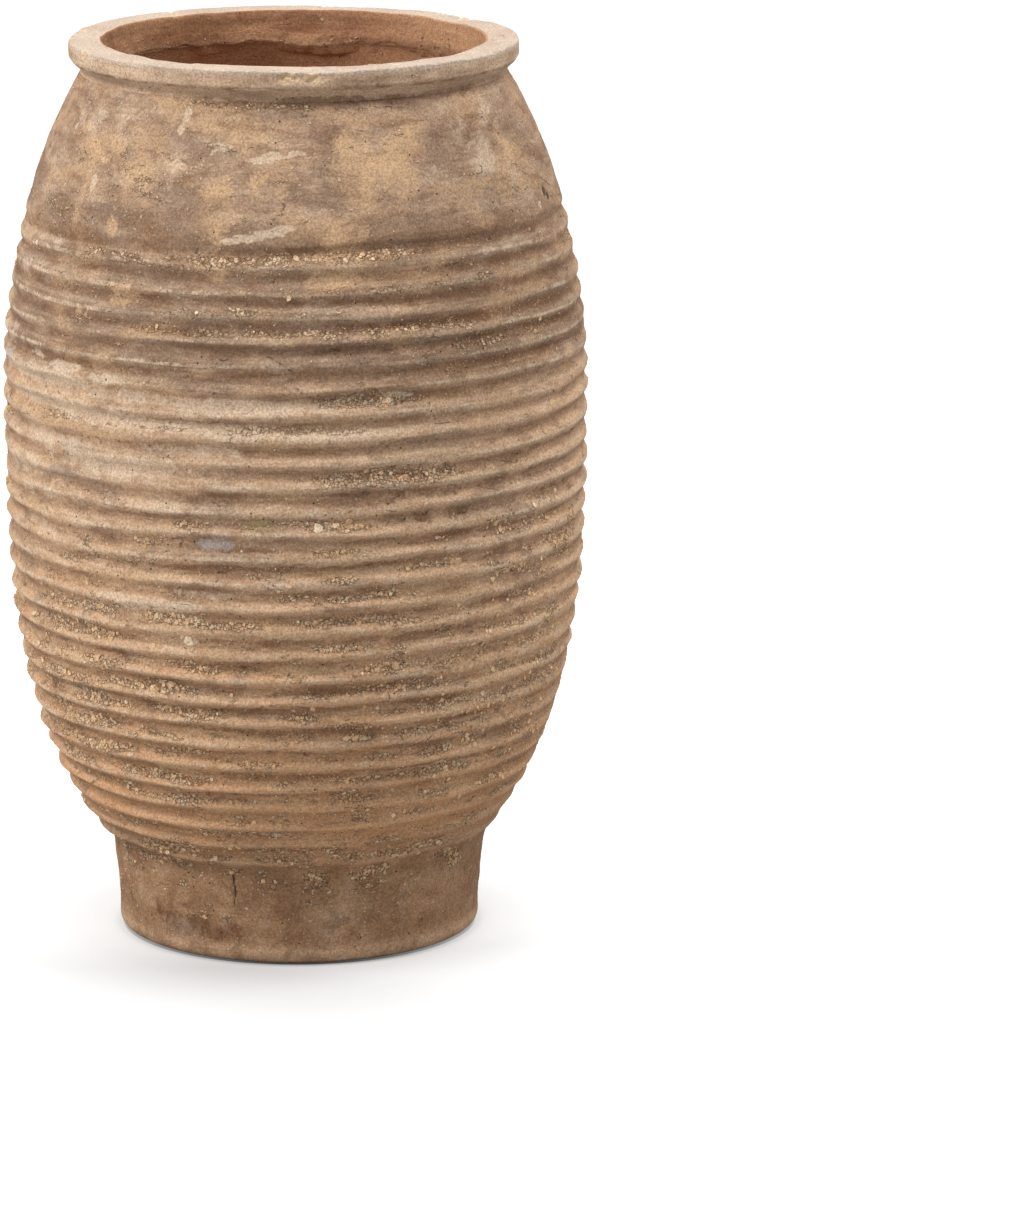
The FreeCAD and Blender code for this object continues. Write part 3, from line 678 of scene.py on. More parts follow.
# Each kind of unevenness: how fine it is round the jar and up it, its detail, its roughness and its reach.
uneven = {"wander": (2.4, 8.0, 2.0, 0.5, 0.0100), "finerWander": (8.0, 34.0, 1.0, 0.5, 0.0085),
          "outOfRound": (2.2, 2.2, 1.0, 0.5, 0.0040), "dents": (12.0, 26.0, 2.0, 0.5, 0.0022),
          "lumps": (80.0, 80.0, 3.0, 0.6, 0.0014), "drag": (5.0, 190.0, 3.0, 0.6, 0.0006),
          "ribs": (5.0, 34.0, 2.0, 0.5, 0.0136), "notches": (16.0, 44.0, 3.0, 0.6, 0.0060),
          "throwing": (3.0, 150.0, 2.0, 0.5, 0.0016), "lip": (10.0, 60.0, 3.0, 0.6, 0.0034),
          "thumbs": (24.0, 30.0, 3.0, 0.6, 0.0040), "smear": (15.0, 3.0, 3.0, 0.6, 0.0260)}


def handThrown():
    tree, wires, start, end = group("handThrown", "GeometryNodeTree", geometry, geometry)
    place = wires.node("GeometryNodeInputPosition").outputs[0]
    x, y, z = wires.node("ShaderNodeSeparateXYZ", {0: place}).outputs
    flat = wires.node("ShaderNodeCombineXYZ", {0: x, 1: y}).outputs[0]
    away = wires.node("ShaderNodeVectorMath", {0: flat}, operation="NORMALIZE").outputs[0]
    outer, crest, pressed = wires.named("outer"), wires.named("crest"), wires.named("pressed")

    def rough(kind):
        across, up, detail, roughness, reach = uneven[kind]
        return wires.about(wires.drawn(place, across, up, detail, roughness), reach)

    # Up and down: nothing moves at the floor, and the beds near the rim move less than the ribs do.
    free = wires.times(wires.smooth(z, *fades["loose"]), wires.smooth(z, *fades["held"], 1.0, 0.0))
    tilt = wires.times(x, hand["tilt"] / jar["bellyRadius"])
    lift = wires.times(wires.add(wires.add(rough("wander"), rough("finerWander")), tilt), free)
    lift = wires.add(lift, wires.times(rough("smear"), pressed))

    # The ribs: uneven, notched, rubbed smooth in places, proud low on the left and worn low on the right.
    rubbed = wires.times(wires.named("smooth"), hand["rubbed"])
    ribs = wires.less(wires.add(rough("ribs"), rough("notches")), rubbed)
    side = wires.smooth(x, *fades["ribSides"], -hand["ribWorn"], hand["ribProud"])
    depth = wires.about(crest, wires.add(ribs, wires.times(wires.smooth(z, *fades["lowRibs"]), side)))

    # Crust that has grown on the ledges, and what is broken off.
    mound = wires.smooth(wires.noise(place, 150.0, 3.0, 0.7), 0.46, 0.62, 0.0, hand["crust"])
    mound = wires.times(mound, wires.times(wires.named("gritty"), ledge(wires, wires.named("lee"), crest)))
    nick = wires.smooth(wires.drawn(place, 60.0, 110.0, 2.0), 0.66, 0.76, 0.0, hand["nicks"])
    nick = wires.times(nick, wires.smooth(crest, 0.6, 1.0))
    broken = wires.smooth(wires.noise(place, 130.0, 3.0), 0.35, 0.6, 0.0, hand["chips"])
    broken = wires.times(wires.named("chip"), broken)
    gone = wires.add(wires.add(nick, broken), wires.times(wires.named("crack"), hand["crack"]))

    # In and out, everything together.
    outside = wires.add(wires.less(wires.add(depth, mound), gone), rough("drag"))
    own = wires.add(wires.times(outside, outer), wires.times(rough("throwing"), wires.less(1.0, outer)))
    shape = wires.add(wires.add(rough("outOfRound"), rough("dents")), wires.add(rough("lumps"), own))
    shape = wires.add(wires.less(shape, hand["drawIn"]), wires.times(rough("thumbs"), pressed))
    shape = wires.add(shape, wires.times(rough("lip"), wires.smooth(z, *fades["lipWave"])))
    push = wires.times(shape, wires.smooth(z, *fades["onFloor"], 0.15, 1.0))
    out = wires.node("ShaderNodeVectorMath", {0: away, "Scale": push}, operation="SCALE").outputs[0]

    # The lip sinks a little here and there, and most where it is chipped.
    sink = wires.smooth(wires.noise(place, 11.0, 3.0, 0.6), 0.45, 0.70, 0.0, hand["lipSink"])
    sink = wires.times(sink, wires.smooth(z, *fades["lipTop"]))
    drop = wires.add(wires.times(broken, hand["chipFall"]), sink)
    up = wires.node("ShaderNodeCombineXYZ", {2: wires.less(lift, drop)}).outputs[0]
    shift = wires.node("ShaderNodeVectorMath", {0: out, 1: up}, operation="ADD").outputs[0]
    moved = wires.node("GeometryNodeSetPosition", {"Geometry": start.outputs[0], "Offset": shift})
    wires.feed(end.inputs[0], moved.outputs[0])
    return tree


def apply(piece, tree):
    bpy.ops.object.select_all(action="DESELECT")
    piece.select_set(True)
    bpy.context.view_layer.objects.active = piece
    modifier = piece.modifiers.new(tree.name, "NODES")
    modifier.node_group = tree
    bpy.ops.object.modifier_apply(modifier=modifier.name)


# Clay. Each tone is a colour as the eye reads it, from 0 to 255.
tones = {"foot": (160, 123, 91), "low": (199, 150, 108), "middle": (209, 166, 128), "sand": (199, 163, 131),
         "upper": (151, 120, 95), "shoulder": (170, 140, 115), "ochre": (203, 166, 128),
         "grey": (130, 105, 86), "cream": (222, 197, 170), "grimeAndShade": (106, 70, 44), "grain": (196, 155, 115),
         "crestWearAndHighlight": (224, 199, 171), "grit": (215, 178, 138), "lime": (234, 211, 180),
         "dab": (216, 192, 165), "soot": (48, 36, 28), "rimTop": (190, 171, 154), "rimSide": (190, 161, 134),
         "rimChip": (214, 184, 148), "inside": (148, 105, 76), "insideLitBelowNeck": (224, 174, 134),
         "insideDark": (104, 72, 52), "tideAndLitSide": (200, 156, 118), "bluish": (172, 163, 158),
         "lichen": (172, 154, 104), "luting": (204, 156, 120)}
# The zones of the outside: the height where each tone starts or ends.
zones = [(0.0, "foot"), (0.09, "foot"), (0.15, "low"), (0.32, "middle"), (0.48, "sand"), (0.57, "sand"),
         (0.61, "upper"), (0.73, "upper"), (0.77, "shoulder"), (0.90, "shoulder")]
# How far each fine detail stands out of the clay or, below 0, sinks into it.
relief = {"Sand": 0.50, "Mottle": 0.60, "Streak": 0.30, "Plates": 1.2, "Cracks": -0.9, "Grit": 0.9,
          "Pit": -1.6}
surface = {"roughness": 0.9, "shine": 0.25}


def tone(name):
    def straight(level):
        share = level / 255
        return share / 12.92 if share <= 0.04045 else ((share + 0.055) / 1.055) ** 2.4
    return tuple(straight(level) for level in tones[name])


def clayDetail():
    # Crust says how much lime crust there may be, from 0 to 1; Pitted how many pits.
    tree, wires, start, end = group(
        "clayDetail", "ShaderNodeTree", [("Crust", "NodeSocketFloat"), ("Pitted", "NodeSocketFloat")],
        [(label, "NodeSocketFloat") for label in (*relief, "Torn", "Height")])
    place = wires.node("ShaderNodeTexCoord").outputs["Object"]
    wantsCrust, pitted = start.outputs[0], start.outputs[1]
    torn = wires.drawn(place, 42.0, 50.0, 6.0, 0.72, 0.5)
    made = {"Mottle": wires.noise(place, 30.0, 6.0, 0.66, 0.3), "Sand": wires.noise(place, 420.0, 4.0, 0.85),
            "Streak": wires.drawn(place, 7.0, 150.0, 4.0, 0.62), "Torn": torn}

    # Plates of crust, some paler and some darker, with cracks between them.
    clump = wires.drawn(place, 26.0, 66.0, 4.0, 0.75)
    there = wires.smooth(wires.add(clump, wires.times(wantsCrust, 0.40)), 0.63, 0.70)
    scatter = wires.node("ShaderNodeTexNoise", {"Vector": place, "Scale": 260.0}).outputs["Color"]
    wobbly = wires.shifted(place, scatter, 0.005)
    cell = wires.cells(wobbly, 250.0)
    made["Plates"] = wires.times(wires.smooth(wires.colourPart(cell.outputs["Color"], 0), 0.15, 0.95), there)
    edge = wires.cells(wobbly, 250.0, "DISTANCE_TO_EDGE").outputs[0]
    between = wires.times(wires.smooth(edge, 0.03, 0.11, 1.0, 0.0), there)

    # Hairlines, longer than the plates and only above the foot.
    long = wires.shifted(wires.stretch(place, 15.0, 15.0, 44.0), scatter, 0.10)
    hair = wires.cells(long, 1.0, "DISTANCE_TO_EDGE").outputs[0]
    hair = wires.smooth(hair, 0.004, 0.022, 1.0, 0.0)
    hair = wires.times(hair, wires.smooth(wires.part(place, 2), *fades["hairlines"]))
    made["Cracks"] = wires.math("MAXIMUM", between, wires.times(hair, wires.smooth(torn, 0.57, 0.63)))

    # Single grains, paler than the clay, and pits.
    dome = wires.smooth(cell.outputs["Distance"], 0.15, 0.5, 1.0, 0.0)
    likely = wires.add(wires.colourPart(cell.outputs["Color"], 2), wires.times(wantsCrust, 0.30))
    made["Grit"] = wires.times(dome, wires.smooth(likely, 0.92, 0.98))
    holes = wires.cells(place, 105.0)
    hole = wires.smooth(holes.outputs["Distance"], 0.05, 0.11, 1.0, 0.0)
    likely = wires.add(wires.colourPart(holes.outputs["Color"], 1), pitted)
    made["Pit"] = wires.times(hole, wires.smooth(likely, 0.78, 0.84))

    made["Height"] = 0.0
    for label, amount in relief.items():
        made["Height"] = wires.add(made["Height"], wires.times(made[label], amount))
    for label, value in made.items():
        wires.feed(end.inputs[label], value)
    return tree


detailGroup = clayDetail()


class Clay:
    # One clay being mixed: its material, its fine detail and the colour laid on so far.
    def __init__(self, name, pitted=0.08):
        self.material = bpy.data.materials.new(name)
        self.material.use_nodes = True
        self.wires = Wires(self.material.node_tree)
        self.shader = self.material.node_tree.nodes["Principled BSDF"]
        self.shader.inputs["Roughness"].default_value = surface["roughness"]
        self.shader.inputs["Specular IOR Level"].default_value = surface["shine"]
        self.place = self.wires.node("ShaderNodeTexCoord").outputs["Object"]
        self.x = self.wires.part(self.place, 0)
        self.z = self.wires.part(self.place, 2)
        self.detail = self.wires.node("ShaderNodeGroup", node_tree=detailGroup)
        self.detail.inputs["Pitted"].default_value = pitted
        self.mottle = self.detail.outputs["Mottle"]
        self.streak = self.detail.outputs["Streak"]
        self.torn = self.detail.outputs["Torn"]
        self.colour = None

    def lay(self, name, mask, strength=1.0):
        self.colour = self.wires.mix(self.wires.times(mask, strength), self.colour, (*tone(name), 1.0))

    def patch(self, layer, low=0.36, high=0.80, ragged=3.0):
        # Where strokes of the brush lie, with a torn edge.
        painted = self.wires.attribute(layer)
        inside = self.wires.smooth(self.wires.add(painted, self.wires.about(self.torn, ragged)), low, high)
        return self.wires.times(inside, self.wires.smooth(painted, 0.0, 0.2))

    def finish(self, bump=0.9, depth=0.0016):
        # Crust, cracks, speckles, grains and pits lie over all that was laid before.
        wires, shown = self.wires, self.detail.outputs
        self.lay("grit", shown["Plates"], 0.60)
        self.lay("lime", wires.smooth(shown["Plates"], 0.62, 0.90), 0.40)
        self.lay("grimeAndShade", shown["Cracks"], 0.58)
        speckle = wires.smooth(shown["Sand"], 0.41, 0.59, 0.76, 1.24)
        grey = wires.node("ShaderNodeCombineColor", {0: speckle, 1: speckle, 2: speckle}).outputs[0]
        self.colour = wires.mix(1.0, self.colour, grey, "MULTIPLY")
        self.lay("lime", shown["Grit"], 0.5)
        self.lay("soot", shown["Pit"])
        wires.feed(self.shader.inputs["Base Color"], self.colour)
        rough = wires.node("ShaderNodeBump", {"Height": shown["Height"], "Distance": depth, "Strength": bump})
        wires.feed(self.shader.inputs["Normal"], rough.outputs[0])
        return self.material


def layInside(clay, inner):
    # The unweathered clay inside: orange brown, with the tide mark of what the jar once held. Below the neck
    # and on the right the inside is lighter: that is painted light.
    wires, z = clay.wires, clay.z
    cloud = wires.drawn(clay.place, 14.0, 26.0, 4.0, 0.6)
    wave = wires.about(wires.drawn(clay.place, 22.0, 2.0, 3.0), 0.05)
    lit = wires.times(wires.smooth(clay.x, *fades["litSide"]), wires.smooth(z, *fades["insideLit"]))
    clay.lay("inside", inner)
    # Painted light: the inside below the neck made lighter, where little light falls.
    clay.lay("insideLitBelowNeck", wires.times(wires.smooth(z, *fades["insideLitBelowNeck"]), inner))
    clay.lay("tideAndLitSide", wires.times(wires.smooth(cloud, 0.46, 0.64), inner), 0.50)
    # Painted light: the right side of the inside made lighter, where the lamp on the left shines in.
    clay.lay("tideAndLitSide", wires.times(lit, inner), 0.60)
    clay.lay("insideDark", wires.times(wires.smooth(wires.add(z, wave), *fades["tideMark"]), inner), 0.16)
    clay.lay("insideDark", wires.times(wires.smooth(clay.streak, 0.52, 0.68), inner), 0.22)


def layClouds(clay, crest, aboveFoot, broad):
    # Clouds of ochre and grey, finer ones of cream and grime, and blotches that lie along the ribs.
    wires = clay.wires
    cloud = wires.smooth(clay.torn, 0.36, 0.64, -0.5, 0.5)
    dull = wires.times(cloud, -1.0)
    bounceLitBase = wires.smooth(wires.add(clay.z, wires.times(clay.mottle, 0.02)), *fades["footEdge"])
    blotch = wires.drawn(clay.place, 17.0, 60.0, 5.0, 0.66, 0.3)
    sunk = wires.smooth(crest, 0.85, 0.35, 0.15, 1.0)
    clay.lay("ochre", wires.times(wires.smooth(broad, 0.48, 0.62), aboveFoot), 0.56)
    clay.lay("grey", wires.times(wires.smooth(broad, 0.49, 0.36), aboveFoot), 0.55)
    clay.lay("cream", wires.times(wires.math("MAXIMUM", cloud, 0.0), aboveFoot), 0.34)
    clay.lay("grimeAndShade", wires.times(wires.math("MAXIMUM", dull, 0.0), aboveFoot), 0.30)
    # The lowest band laid paler: painted bounce light from the floor, with the paler sand of the base's edge.
    clay.lay("sand", bounceLitBase, 0.75)
    # Blotches along the grooves darker: grime and painted shade.
    clay.lay("grimeAndShade", wires.times(wires.smooth(blotch, 0.50, 0.38), wires.times(sunk, aboveFoot)), 0.40)
    clay.lay("cream", wires.times(wires.smooth(blotch, 0.52, 0.64), aboveFoot), 0.26)


def layRibs(clay, crest, lee, aboveFoot, broad):
    # Dust on the sides that look up; pale crests, partly wear and partly a painted highlight; grime and
    # painted shade under them and in the grooves.
    wires = clay.wires
    dusty = wires.times(wires.smooth(lee, 0.35, 0.0), wires.smooth(clay.streak, 0.40, 0.62))
    rubbed = wires.times(wires.smooth(crest, 0.84, 1.0), wires.smooth(clay.streak, 0.36, 0.54))
    thin = wires.smooth(clay.z, *fades["fullCrests"], 0.62, 0.90)
    # Painted highlight on the crests, with pale wear: stronger high up and on the jar's left, where the lamp
    # is.
    bright = wires.times(wires.smooth(crest, thin, 0.99), wires.smooth(clay.torn, 0.42, 0.54))
    bright = wires.times(bright, wires.smooth(broad, 0.56, 0.42, 0.30, 1.0))
    high = wires.smooth(clay.z, *fades["highCrests"], 0.30, 0.52)
    lit = wires.math("MAXIMUM", high, wires.smooth(clay.x, *fades["leftCrests"], 0.30, 0.64))
    # Painted shade under the crests, on the sides that look down, laid as grime.
    shaded = wires.times(wires.smooth(lee, 0.60, 0.95), wires.smooth(crest, 0.8, 0.3))
    # The grooves darker: grime and painted shade.
    groove = wires.smooth(wires.add(wires.less(1.0, crest), wires.about(clay.torn, 2.2)), 0.66, 0.80)
    clay.lay("cream", dusty, 0.22)
    clay.lay("cream", rubbed, 0.22)
    clay.lay("crestWearAndHighlight", wires.times(bright, aboveFoot), lit)
    clay.lay("grimeAndShade", shaded, 0.20)
    clay.lay("grimeAndShade", wires.times(groove, aboveFoot), 0.20)


def layPatches(clay, crest):
    # The strokes of the brush, broken up by the clay's own mottle, and the bottom of the grooves darkened,
    # dirt with painted shade.
    wires = clay.wires
    cloudy = wires.smooth(clay.mottle, 0.38, 0.60, 0.35, 1.0)
    peppered = wires.add(0.25, wires.smooth(clay.torn, 0.42, 0.60))
    # Darker at the bottom of the grooves: grime and painted shade.
    bottom = wires.times(wires.smooth(crest, 0.25, 0.0), wires.smooth(clay.mottle, 0.36, 0.60))
    clay.lay("grimeAndShade", clay.patch("gritty", 0.3, 1.0, 2.0), 0.16)
    clay.lay("grey", wires.times(clay.patch("grey"), cloudy), 0.68)
    clay.lay("ochre", wires.times(clay.patch("ochre"), cloudy), 0.76)
    clay.lay("grimeAndShade", wires.times(clay.patch("speckled", 0.1, 1.1, 1.8), peppered), 0.60)
    clay.lay("cream", clay.patch("pale", 0.30, 0.85, 2.2), 0.60)
    clay.lay("grimeAndShade", bottom, 0.18)


def layFoot(clay):
    wires = clay.wires
    onFoot = wires.smooth(clay.z, *fades["onFoot"])
    clay.lay("grimeAndShade", wires.times(wires.smooth(clay.mottle, 0.52, 0.36), onFoot), 0.40)
    clay.lay("cream", wires.times(wires.smooth(clay.mottle, 0.52, 0.64), onFoot), 0.16)
    clay.lay("grimeAndShade", wires.times(wires.smooth(clay.torn, 0.60, 0.70), onFoot), 0.28)


def layMarks(clay, crest):
    # Dark grooves, grime and soot with painted shade, most on the right side and under the lip; single
    # coloured spots, dabs of lime and cracks.
    wires = clay.wires
    sunk = wires.smooth(crest, 0.85, 0.15, 0.15, 1.0)
    # Dark strokes in the grooves: grime and soot with painted shade.
    clay.lay("grimeAndShade", wires.times(clay.patch("dark", 0.38, 0.66, 2.2), sunk), 0.46)
    clay.lay("bluish", clay.patch("bluish"), 0.62)
    clay.lay("lichen", clay.patch("lichen", 0.4, 0.7, 3.4), 0.40)
    clay.lay("dab", clay.patch("lime", 0.40, 0.70, 3.0), 0.66)
    clay.lay("soot", wires.smooth(wires.attribute("crack"), 0.3, 0.8), 0.8)


def weatheredClay():
    clay = Clay("weatheredClay")
    wires = clay.wires
    crest, lee = wires.attribute("crest"), wires.attribute("lee")
    grown = ledge(wires, lee, crest, share=0.65)
    wires.feed(clay.detail.inputs["Crust"], wires.times(wires.attribute("gritty"), grown))
    blurred = wires.add(clay.z, wires.about(clay.mottle, 0.08))
    clay.colour = wires.ramp(blurred, [(height, tone(name)) for height, name in zones])
    broad = wires.drawn(clay.place, 13.0, 24.0, 5.0, 0.62, 0.4)
    aboveFoot = wires.smooth(clay.z, *fades["aboveFoot"], 0.25, 1.0)
    layClouds(clay, crest, aboveFoot, broad)
    layRibs(clay, crest, lee, aboveFoot, broad)
    layPatches(clay, crest)
    layFoot(clay)
    layMarks(clay, crest)
    layInside(clay, wires.smooth(wires.attribute("outer"), 0.7, 0.3))
    return clay.finish()


def rimClay():
    clay = Clay("rimClay", pitted=0.14)
    wires, z = clay.wires, clay.z
    clay.colour = (*tone("rimSide"), 1.0)
    cloud = wires.drawn(clay.place, 18.0, 30.0, 4.0, 0.6)
    top = wires.smooth(wires.add(z, wires.about(clay.mottle, 0.004)), *fades["flatLip"])
    clay.lay("cream", wires.smooth(clay.streak, 0.48, 0.62), 0.36)
    clay.lay("middle", wires.smooth(clay.torn, 0.52, 0.64), 0.35)
    clay.lay("rimTop", top)
    clay.lay("rimSide", wires.times(top, wires.smooth(cloud, 0.52, 0.66)), 0.45)
    clay.lay("cream", wires.times(wires.smooth(z, *fades["paleLip"]), wires.smooth(cloud, 0.56, 0.42)), 0.26)
    clay.lay("grimeAndShade", wires.times(wires.smooth(cloud, 0.50, 0.62), wires.smooth(z, *fades["dirtyLip"])), 0.26)

    # The lip's face is duller everywhere but on its left, and a dark line runs under it: soot with a painted
    # shadow of the lip.
    face = wires.times(wires.smooth(z, *fades["faceStart"]), wires.smooth(z, *fades["faceEnd"]))
    dull = wires.smooth(clay.mottle, 0.36, 0.58, 0.5, 1.0)
    dull = wires.times(wires.smooth(clay.x, *fades["dullFace"]), dull)
    clay.lay("upper", wires.times(face, dull), 0.18)
    # Painted shadow of the lip, with soot: a dark line just under its face.
    seam = wires.math("ABSOLUTE", wires.less(wires.add(z, wires.times(clay.mottle, 0.004)), lipSeam))
    sootAndShadow = wires.times(wires.smooth(seam, 0.0022, 0.0004), wires.smooth(clay.torn, 0.42, 0.60))
    clay.lay("grimeAndShade", sootAndShadow, 0.6)
    chipped = wires.add(wires.attribute("chip"), wires.about(clay.torn, 1.6))
    clay.lay("rimChip", wires.smooth(chipped, 0.44, 0.54), 0.90)
    # Dark strokes under the lip: soot and painted shade.
    clay.lay("grimeAndShade", clay.patch("dark", 0.35, 0.80, 2.0), 0.6)
    clay.lay("dab", clay.patch("lime", 0.40, 0.70, 3.0), 0.66)
    layInside(clay, wires.smooth(wires.attribute("outer"), 0.62, 0.38))
    return clay.finish(bump=0.6)


def lutingClay():
    clay = Clay("lutingClay", pitted=0.12)
    clay.colour = (*tone("luting"), 1.0)
    layInside(clay, 1.0)
    return clay.finish(depth=0.0018)


materials = {"wall": weatheredClay(), "rim": rimClay(), "luting": lutingClay()}
thrown = handThrown()
print("materials made")


def finish(piece, slot, *nodes):
    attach(piece, "root")
    if nodes:
        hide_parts(*nodes)


def finishRing(name, outline, closed=True):
    piece = turned(name + "_clay", outline, closed)
    markFaces(piece, name)
    apply(piece, thrown)
    piece.data.materials.append(materials["rim" if name == "rim_ring" else "wall"])
    finish(piece, "rim_clay" if name == "rim_ring" else "fired_clay", name)
    print(name, "turned:", len(piece.data.polygons), "faces")
    return piece


outlines = {"foot_ring": footOutline(), "shoulder_ring": shoulderOutline(), "rim_ring": rimOutline()}
outlines.update({drum: drumOutline(drum) for drum in ribCounts})
rings = {name: finishRing(name, outlines[name]) for name in ringNames}
rings["base_disc"] = finishRing("base_disc", baseOutline(), closed=False)


# Crust: grains and flakes of lime and burnt slip that stand on the clay, most of them in the grooves.
# Stray says how many lie where the brush painted none, and high how many lie above the pale band.
grain = {"size": 0.00062, "sides": 5, "jog": 0.4, "thick": 0.7, "density": 420000.0, "spread": 1.4,
         "stray": 0.07, "high": 1.0}
plate = {"size": 0.0012, "sides": 6, "jog": 0.55, "thick": 0.20, "density": 210000.0, "spread": 1.5,
         "stray": -0.25, "high": 0.2}
crust = {"kinds": 5, "seed": 7, "rise": 0.0003, "smallest": 0.6, "fewLarge": 3.5, "lean": 0.35,
         "sizeSeed": 10, "turnSeed": 20, "tintSeed": 30}


def jogged(name, kind, size, seed):
    # The block or cone just added gets a torn outline: it is jogged about and then pressed flat.
    made = bpy.context.object
    made.name = name
    bpy.ops.object.mode_set(mode="EDIT")
    bpy.ops.mesh.select_all(action="SELECT")
    bpy.ops.transform.vertex_random(offset=size * kind["jog"], seed=seed)
    bpy.ops.transform.resize(value=(1, 1, kind["thick"]))
    bpy.ops.mesh.normals_make_consistent(inside=False)
    bpy.ops.object.mode_set(mode="OBJECT")
    return made


def modelPlate(name, kind, size, seed):
    bpy.ops.object.select_all(action="DESELECT")
    bpy.ops.mesh.primitive_cylinder_add(vertices=kind["sides"], radius=size, depth=size * 2)
    return jogged(name, kind, size, seed)


def modelGrain(name, kind, size, seed):
    bpy.ops.object.select_all(action="DESELECT")
    bpy.ops.mesh.primitive_cone_add(vertices=kind["sides"], radius1=size, depth=size * 2)
    return jogged(name, kind, size, seed)


def crustBox(name, model, kind):
    # A few differing pieces, kept together so that one of them is picked for each place.
    kept = bpy.data.collections.new(name)
    for number in range(crust["kinds"]):
        made = model(f"{name}_{number}", kind, kind["size"], crust["seed"] + number)
        for home in list(made.users_collection):
            home.objects.unlink(made)
        kept.objects.link(made)
    return kept


def crustScatter(boxes):
    tree, wires, start, end = group("crustScatter", "GeometryNodeTree", geometry, geometry)
    place = wires.node("GeometryNodeInputPosition").outputs[0]
    grown = ledge(wires, wires.named("lee"), wires.named("crest"), 1.1, 1.05, 0.80)
    clump = wires.smooth(wires.drawn(place, 40.0, 70.0, 4.0, 0.75), 0.49, 0.58, 0.05, 1.0)
    ground = wires.times(wires.named("outer"), wires.times(grown, clump))
    low = wires.smooth(wires.part(place, 2), *fades["lowCrust"])
    leaning = (-crust["lean"], -crust["lean"], 0.0), (crust["lean"], crust["lean"], 6.28)
    join = wires.node("GeometryNodeJoinGeometry")
    for number, (kept, kind) in enumerate(boxes):
        common = wires.times(ground, wires.math("MAXIMUM", low, kind["high"]))
        where = wires.times(common, wires.add(wires.named("gritty"), kind["stray"]))
        spots = wires.node("GeometryNodeDistributePointsOnFaces",
                           {"Mesh": start.outputs[0], "Density": wires.times(where, kind["density"]),
                            "Seed": number}, distribute_method="RANDOM").outputs
        info = wires.node("GeometryNodeCollectionInfo", {"Collection": kept, "Separate Children": True,
                                                         "Reset Children": True})
        roll = wires.chance("FLOAT", crust["sizeSeed"] + number, 0.0, 1.0)
        size = wires.times(wires.math("POWER", roll, crust["fewLarge"]), kind["spread"])
        size = wires.add(size, crust["smallest"])
        turn = wires.chance("FLOAT_VECTOR", crust["turnSeed"] + number, *leaning)
        tint = wires.chance("FLOAT", crust["tintSeed"] + number, 0.0, 1.0)
        risen = wires.node("ShaderNodeVectorMath", {0: spots["Normal"], "Scale": crust["rise"]},
                           operation="SCALE").outputs[0]
        raised = wires.node("GeometryNodeSetPosition",
                            {"Geometry": spots["Points"], "Offset": risen}).outputs[0]
        laid = wires.node("GeometryNodeInstanceOnPoints",
                          {"Points": raised, "Instance": info.outputs[0], "Pick Instance": True,
                           "Rotation": spots["Rotation"], "Scale": size}).outputs[0]
        settled = wires.node("GeometryNodeRotateInstances",
                             {"Instances": laid, "Rotation": turn, "Local Space": True}).outputs[0]
        tinted = wires.node("GeometryNodeStoreNamedAttribute",
                            {"Geometry": settled, "Name": "tint", "Value": tint},
                            data_type="FLOAT", domain="INSTANCE").outputs[0]
        loose = wires.node("GeometryNodeRealizeInstances", {"Geometry": tinted})
        wires.tree.links.new(loose.outputs[0], join.inputs[0])
    wires.feed(end.inputs[0], join.outputs[0])
    return tree


def crustClay():
    clay = Clay("crustClay", pitted=0.0)
    wires = clay.wires
    clay.colour = wires.ramp(wires.attribute("tint"), [(0.0, tone("grain")), (0.45, tone("grit")),
                                                       (0.8, tone("grit")), (1.0, tone("lime"))])
    return clay.finish(bump=0.4)


def scatterCrust():
    grains = crustBox("grain", modelGrain, grain)
    plates = crustBox("plate", modelPlate, plate)
    scatter = crustScatter([(grains, grain), (plates, plate)])
    material = crustClay()
    for name, ring in rings.items():
        if name in ("rim_ring", "base_disc"):
            continue
        piece = ring.copy()
        piece.data = ring.data.copy()
        piece.name = name + "_crust"
        bpy.context.collection.objects.link(piece)
        apply(piece, scatter)
        piece.data.materials.clear()
        piece.data.materials.append(material)
        bpy.ops.object.shade_flat()
        finish(piece, "fired_clay")
        print(piece.name, len(piece.data.polygons), "faces")
    for kept in (grains, plates):
        for flake in list(kept.objects):
            bpy.data.objects.remove(flake)
        bpy.data.collections.remove(kept)


scatterCrust()


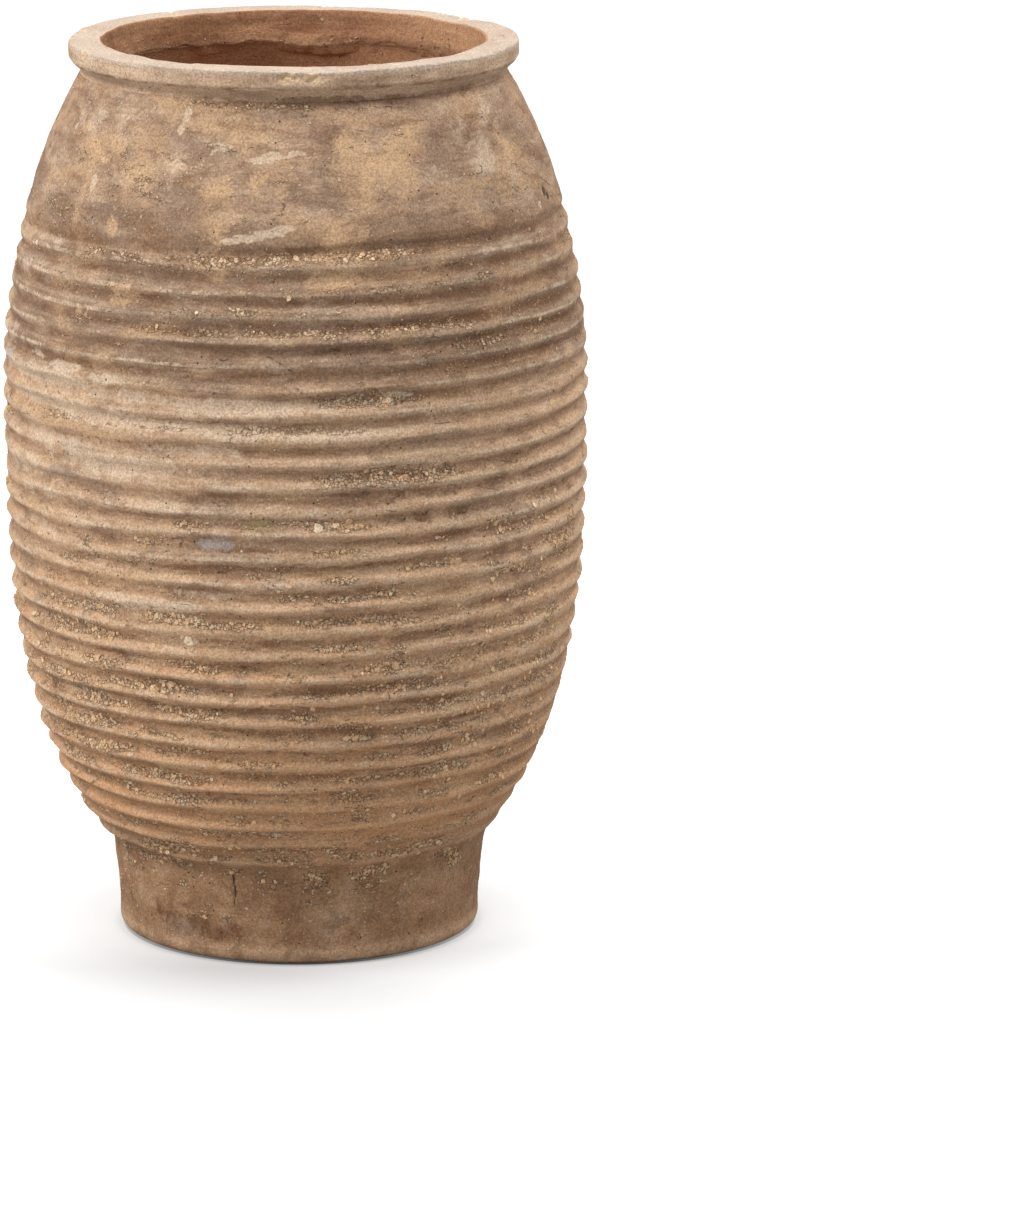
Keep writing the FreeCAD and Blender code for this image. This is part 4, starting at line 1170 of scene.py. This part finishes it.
# The larger flakes of lime, each laid one by one: (angle, height, size in millimetres, how pale).
# limeFlake says how each is made, and how far from the jar's middle it starts on its way to the wall.
limeFlakes = [(-22, 349, 5.2, 1.0), (-23.5, 353, 2.4, 0.7), (4, 466, 4.4, 1.0), (7.5, 469, 3.6, 0.9),
              (10, 471, 3.4, 0.6), (-27, 302, 3.6, 0.6), (-25.6, 298, 2.6, 0.8), (-31, 297, 3.2, 0.9),
              (-45, 318, 3.8, 0.3), (-42, 312, 2.6, 0.6), (-42, 227, 2.8, 0.6), (46, 404, 2.4, 0.6),
              (43, 403, 2.2, 0.6), (50, 406, 2.6, 0.7), (16, 322, 3.0, 0.5), (20, 325, 4.2, 0.3),
              (33, 423, 3.6, 0.6), (-1, 282, 2.4, 0.6), (3, 283, 2.6, 0.7), (31, 282, 2.4, 0.4),
              (42, 455, 3.6, 0.6), (33.5, 378, 2.4, 0.7), (-38, 103, 3.0, 0.7), (-24, 237, 2.8, 0.6),
              (-22, 234, 2.6, 0.7), (-50, 250, 3.8, 0.4), (-34, 205, 2.6, 0.7), (8, 346, 2.6, 0.7),
              (10, 251, 2.6, 0.7), (14, 251, 2.2, 0.7), (58, 335, 2.8, 0.4), (-30, 341, 2.4, 0.6),
              (30, 447, 3.4, 0.5), (-20, 322, 2.6, 0.8), (-39, 297, 2.6, 0.5), (-57, 293, 3.0, 0.5),
              (18, 588, 3.0, 0.9), (-68, 714, 2.4, 0.9), (60, 560, 2.4, 0.6), (62, 470, 2.6, 0.6)]
limeFlake = {"sides": 9, "jog": 0.55, "thick": 0.16, "seed": 100, "from": 0.4}


def layFlake(number, angle, height, size):
    # Each flake comes from outside to the ring that stands at its height, and lies flat where it lands.
    flake = modelPlate(f"lime_flake_{number}", limeFlake, size / 1000, limeFlake["seed"] + number)
    out = Vector((math.sin(math.radians(angle)), -math.cos(math.radians(angle)), 0.0))
    ring = rings[max((name for name in ringNames if bed[name] <= height / 1000), key=bed.get)]
    hit, spot, normal, _ = ring.ray_cast(out * limeFlake["from"] + Vector((0, 0, height / 1000)), -out)
    if hit:
        flake.location = spot
        flake.rotation_euler = normal.to_track_quat("Z", "Y").to_euler()
    bpy.ops.object.transform_apply(location=True, rotation=True, scale=True)
    return flake


def layFlakes():
    laid = []
    for number, (angle, height, size, paleness) in enumerate(limeFlakes):
        flake = layFlake(number, angle, height, size)
        paint(flake, "tint", np.full(len(flake.data.vertices), paleness))
        laid.append(flake)
    bpy.ops.object.select_all(action="DESELECT")
    for flake in laid:
        flake.select_set(True)
    bpy.context.view_layer.objects.active = laid[0]
    bpy.ops.object.join()
    bpy.ops.object.shade_flat()
    whole = bpy.context.object
    whole.name = "lime_flakes"
    whole.data.materials.clear()
    whole.data.materials.append(bpy.data.materials["crustClay"])
    finish(whole, "fired_clay")


layFlakes()


# The coils of luting clay, pressed into each corner with the fingers.
luting = {"reach": 0.011, "bulge": 0.0012, "seat": 0.002, "parts": 16, "baseParts": 10, "cornerHollow": 2.2}


def coilOutline(z):
    # From the top of the coil down its bulging face, and back up where it sits on the wall.
    reach, steps = luting["reach"], [1 - 2 * part / luting["parts"] for part in range(luting["parts"] + 1)]
    face = [(innerLine(z + t * reach) - luting["bulge"] * (1 - t * t), z + t * reach) for t in steps]
    back = [(innerLine(z + t * reach) + luting["seat"], z + t * reach) for t in (-1, 0, 1)]
    return face + back


def baseCoilOutline():
    bore = jar["footRadius"] - jar["footStep"] - jar["footTaper"] - jar["footWall"]
    floor, reach, hollow = bed["foot_ring"], luting["reach"], luting["cornerHollow"]
    turns = [math.pi / 2 * part / luting["baseParts"] for part in range(luting["baseParts"])]
    face = [(bore - reach * math.cos(t) ** hollow, floor + reach * math.sin(t) ** hollow) for t in turns]
    seat = bore + luting["seat"]
    return face + [(bore, floor + reach), (seat, floor + reach), (seat, floor)]


def finishCoil(node, outline):
    piece = turned(node + "_clay", outline)
    count = len(piece.data.vertices)
    for layer in ("outer", "crest", "lee", "smooth", "gritty", "chip", "crack"):
        paint(piece, layer, np.zeros(count))
    paint(piece, "pressed", np.ones(count))
    apply(piece, thrown)
    piece.data.materials.append(materials["luting"])
    finish(piece, "luting_clay", node)


coilBeds = [bed[name] for name in ringNames[1:]]
for place, height in enumerate(coilBeds, start=1):
    finishCoil(f"luting_coil_{place}", coilOutline(height))
finishCoil("luting_coil_base", baseCoilOutline())
print("luting coils pressed in")
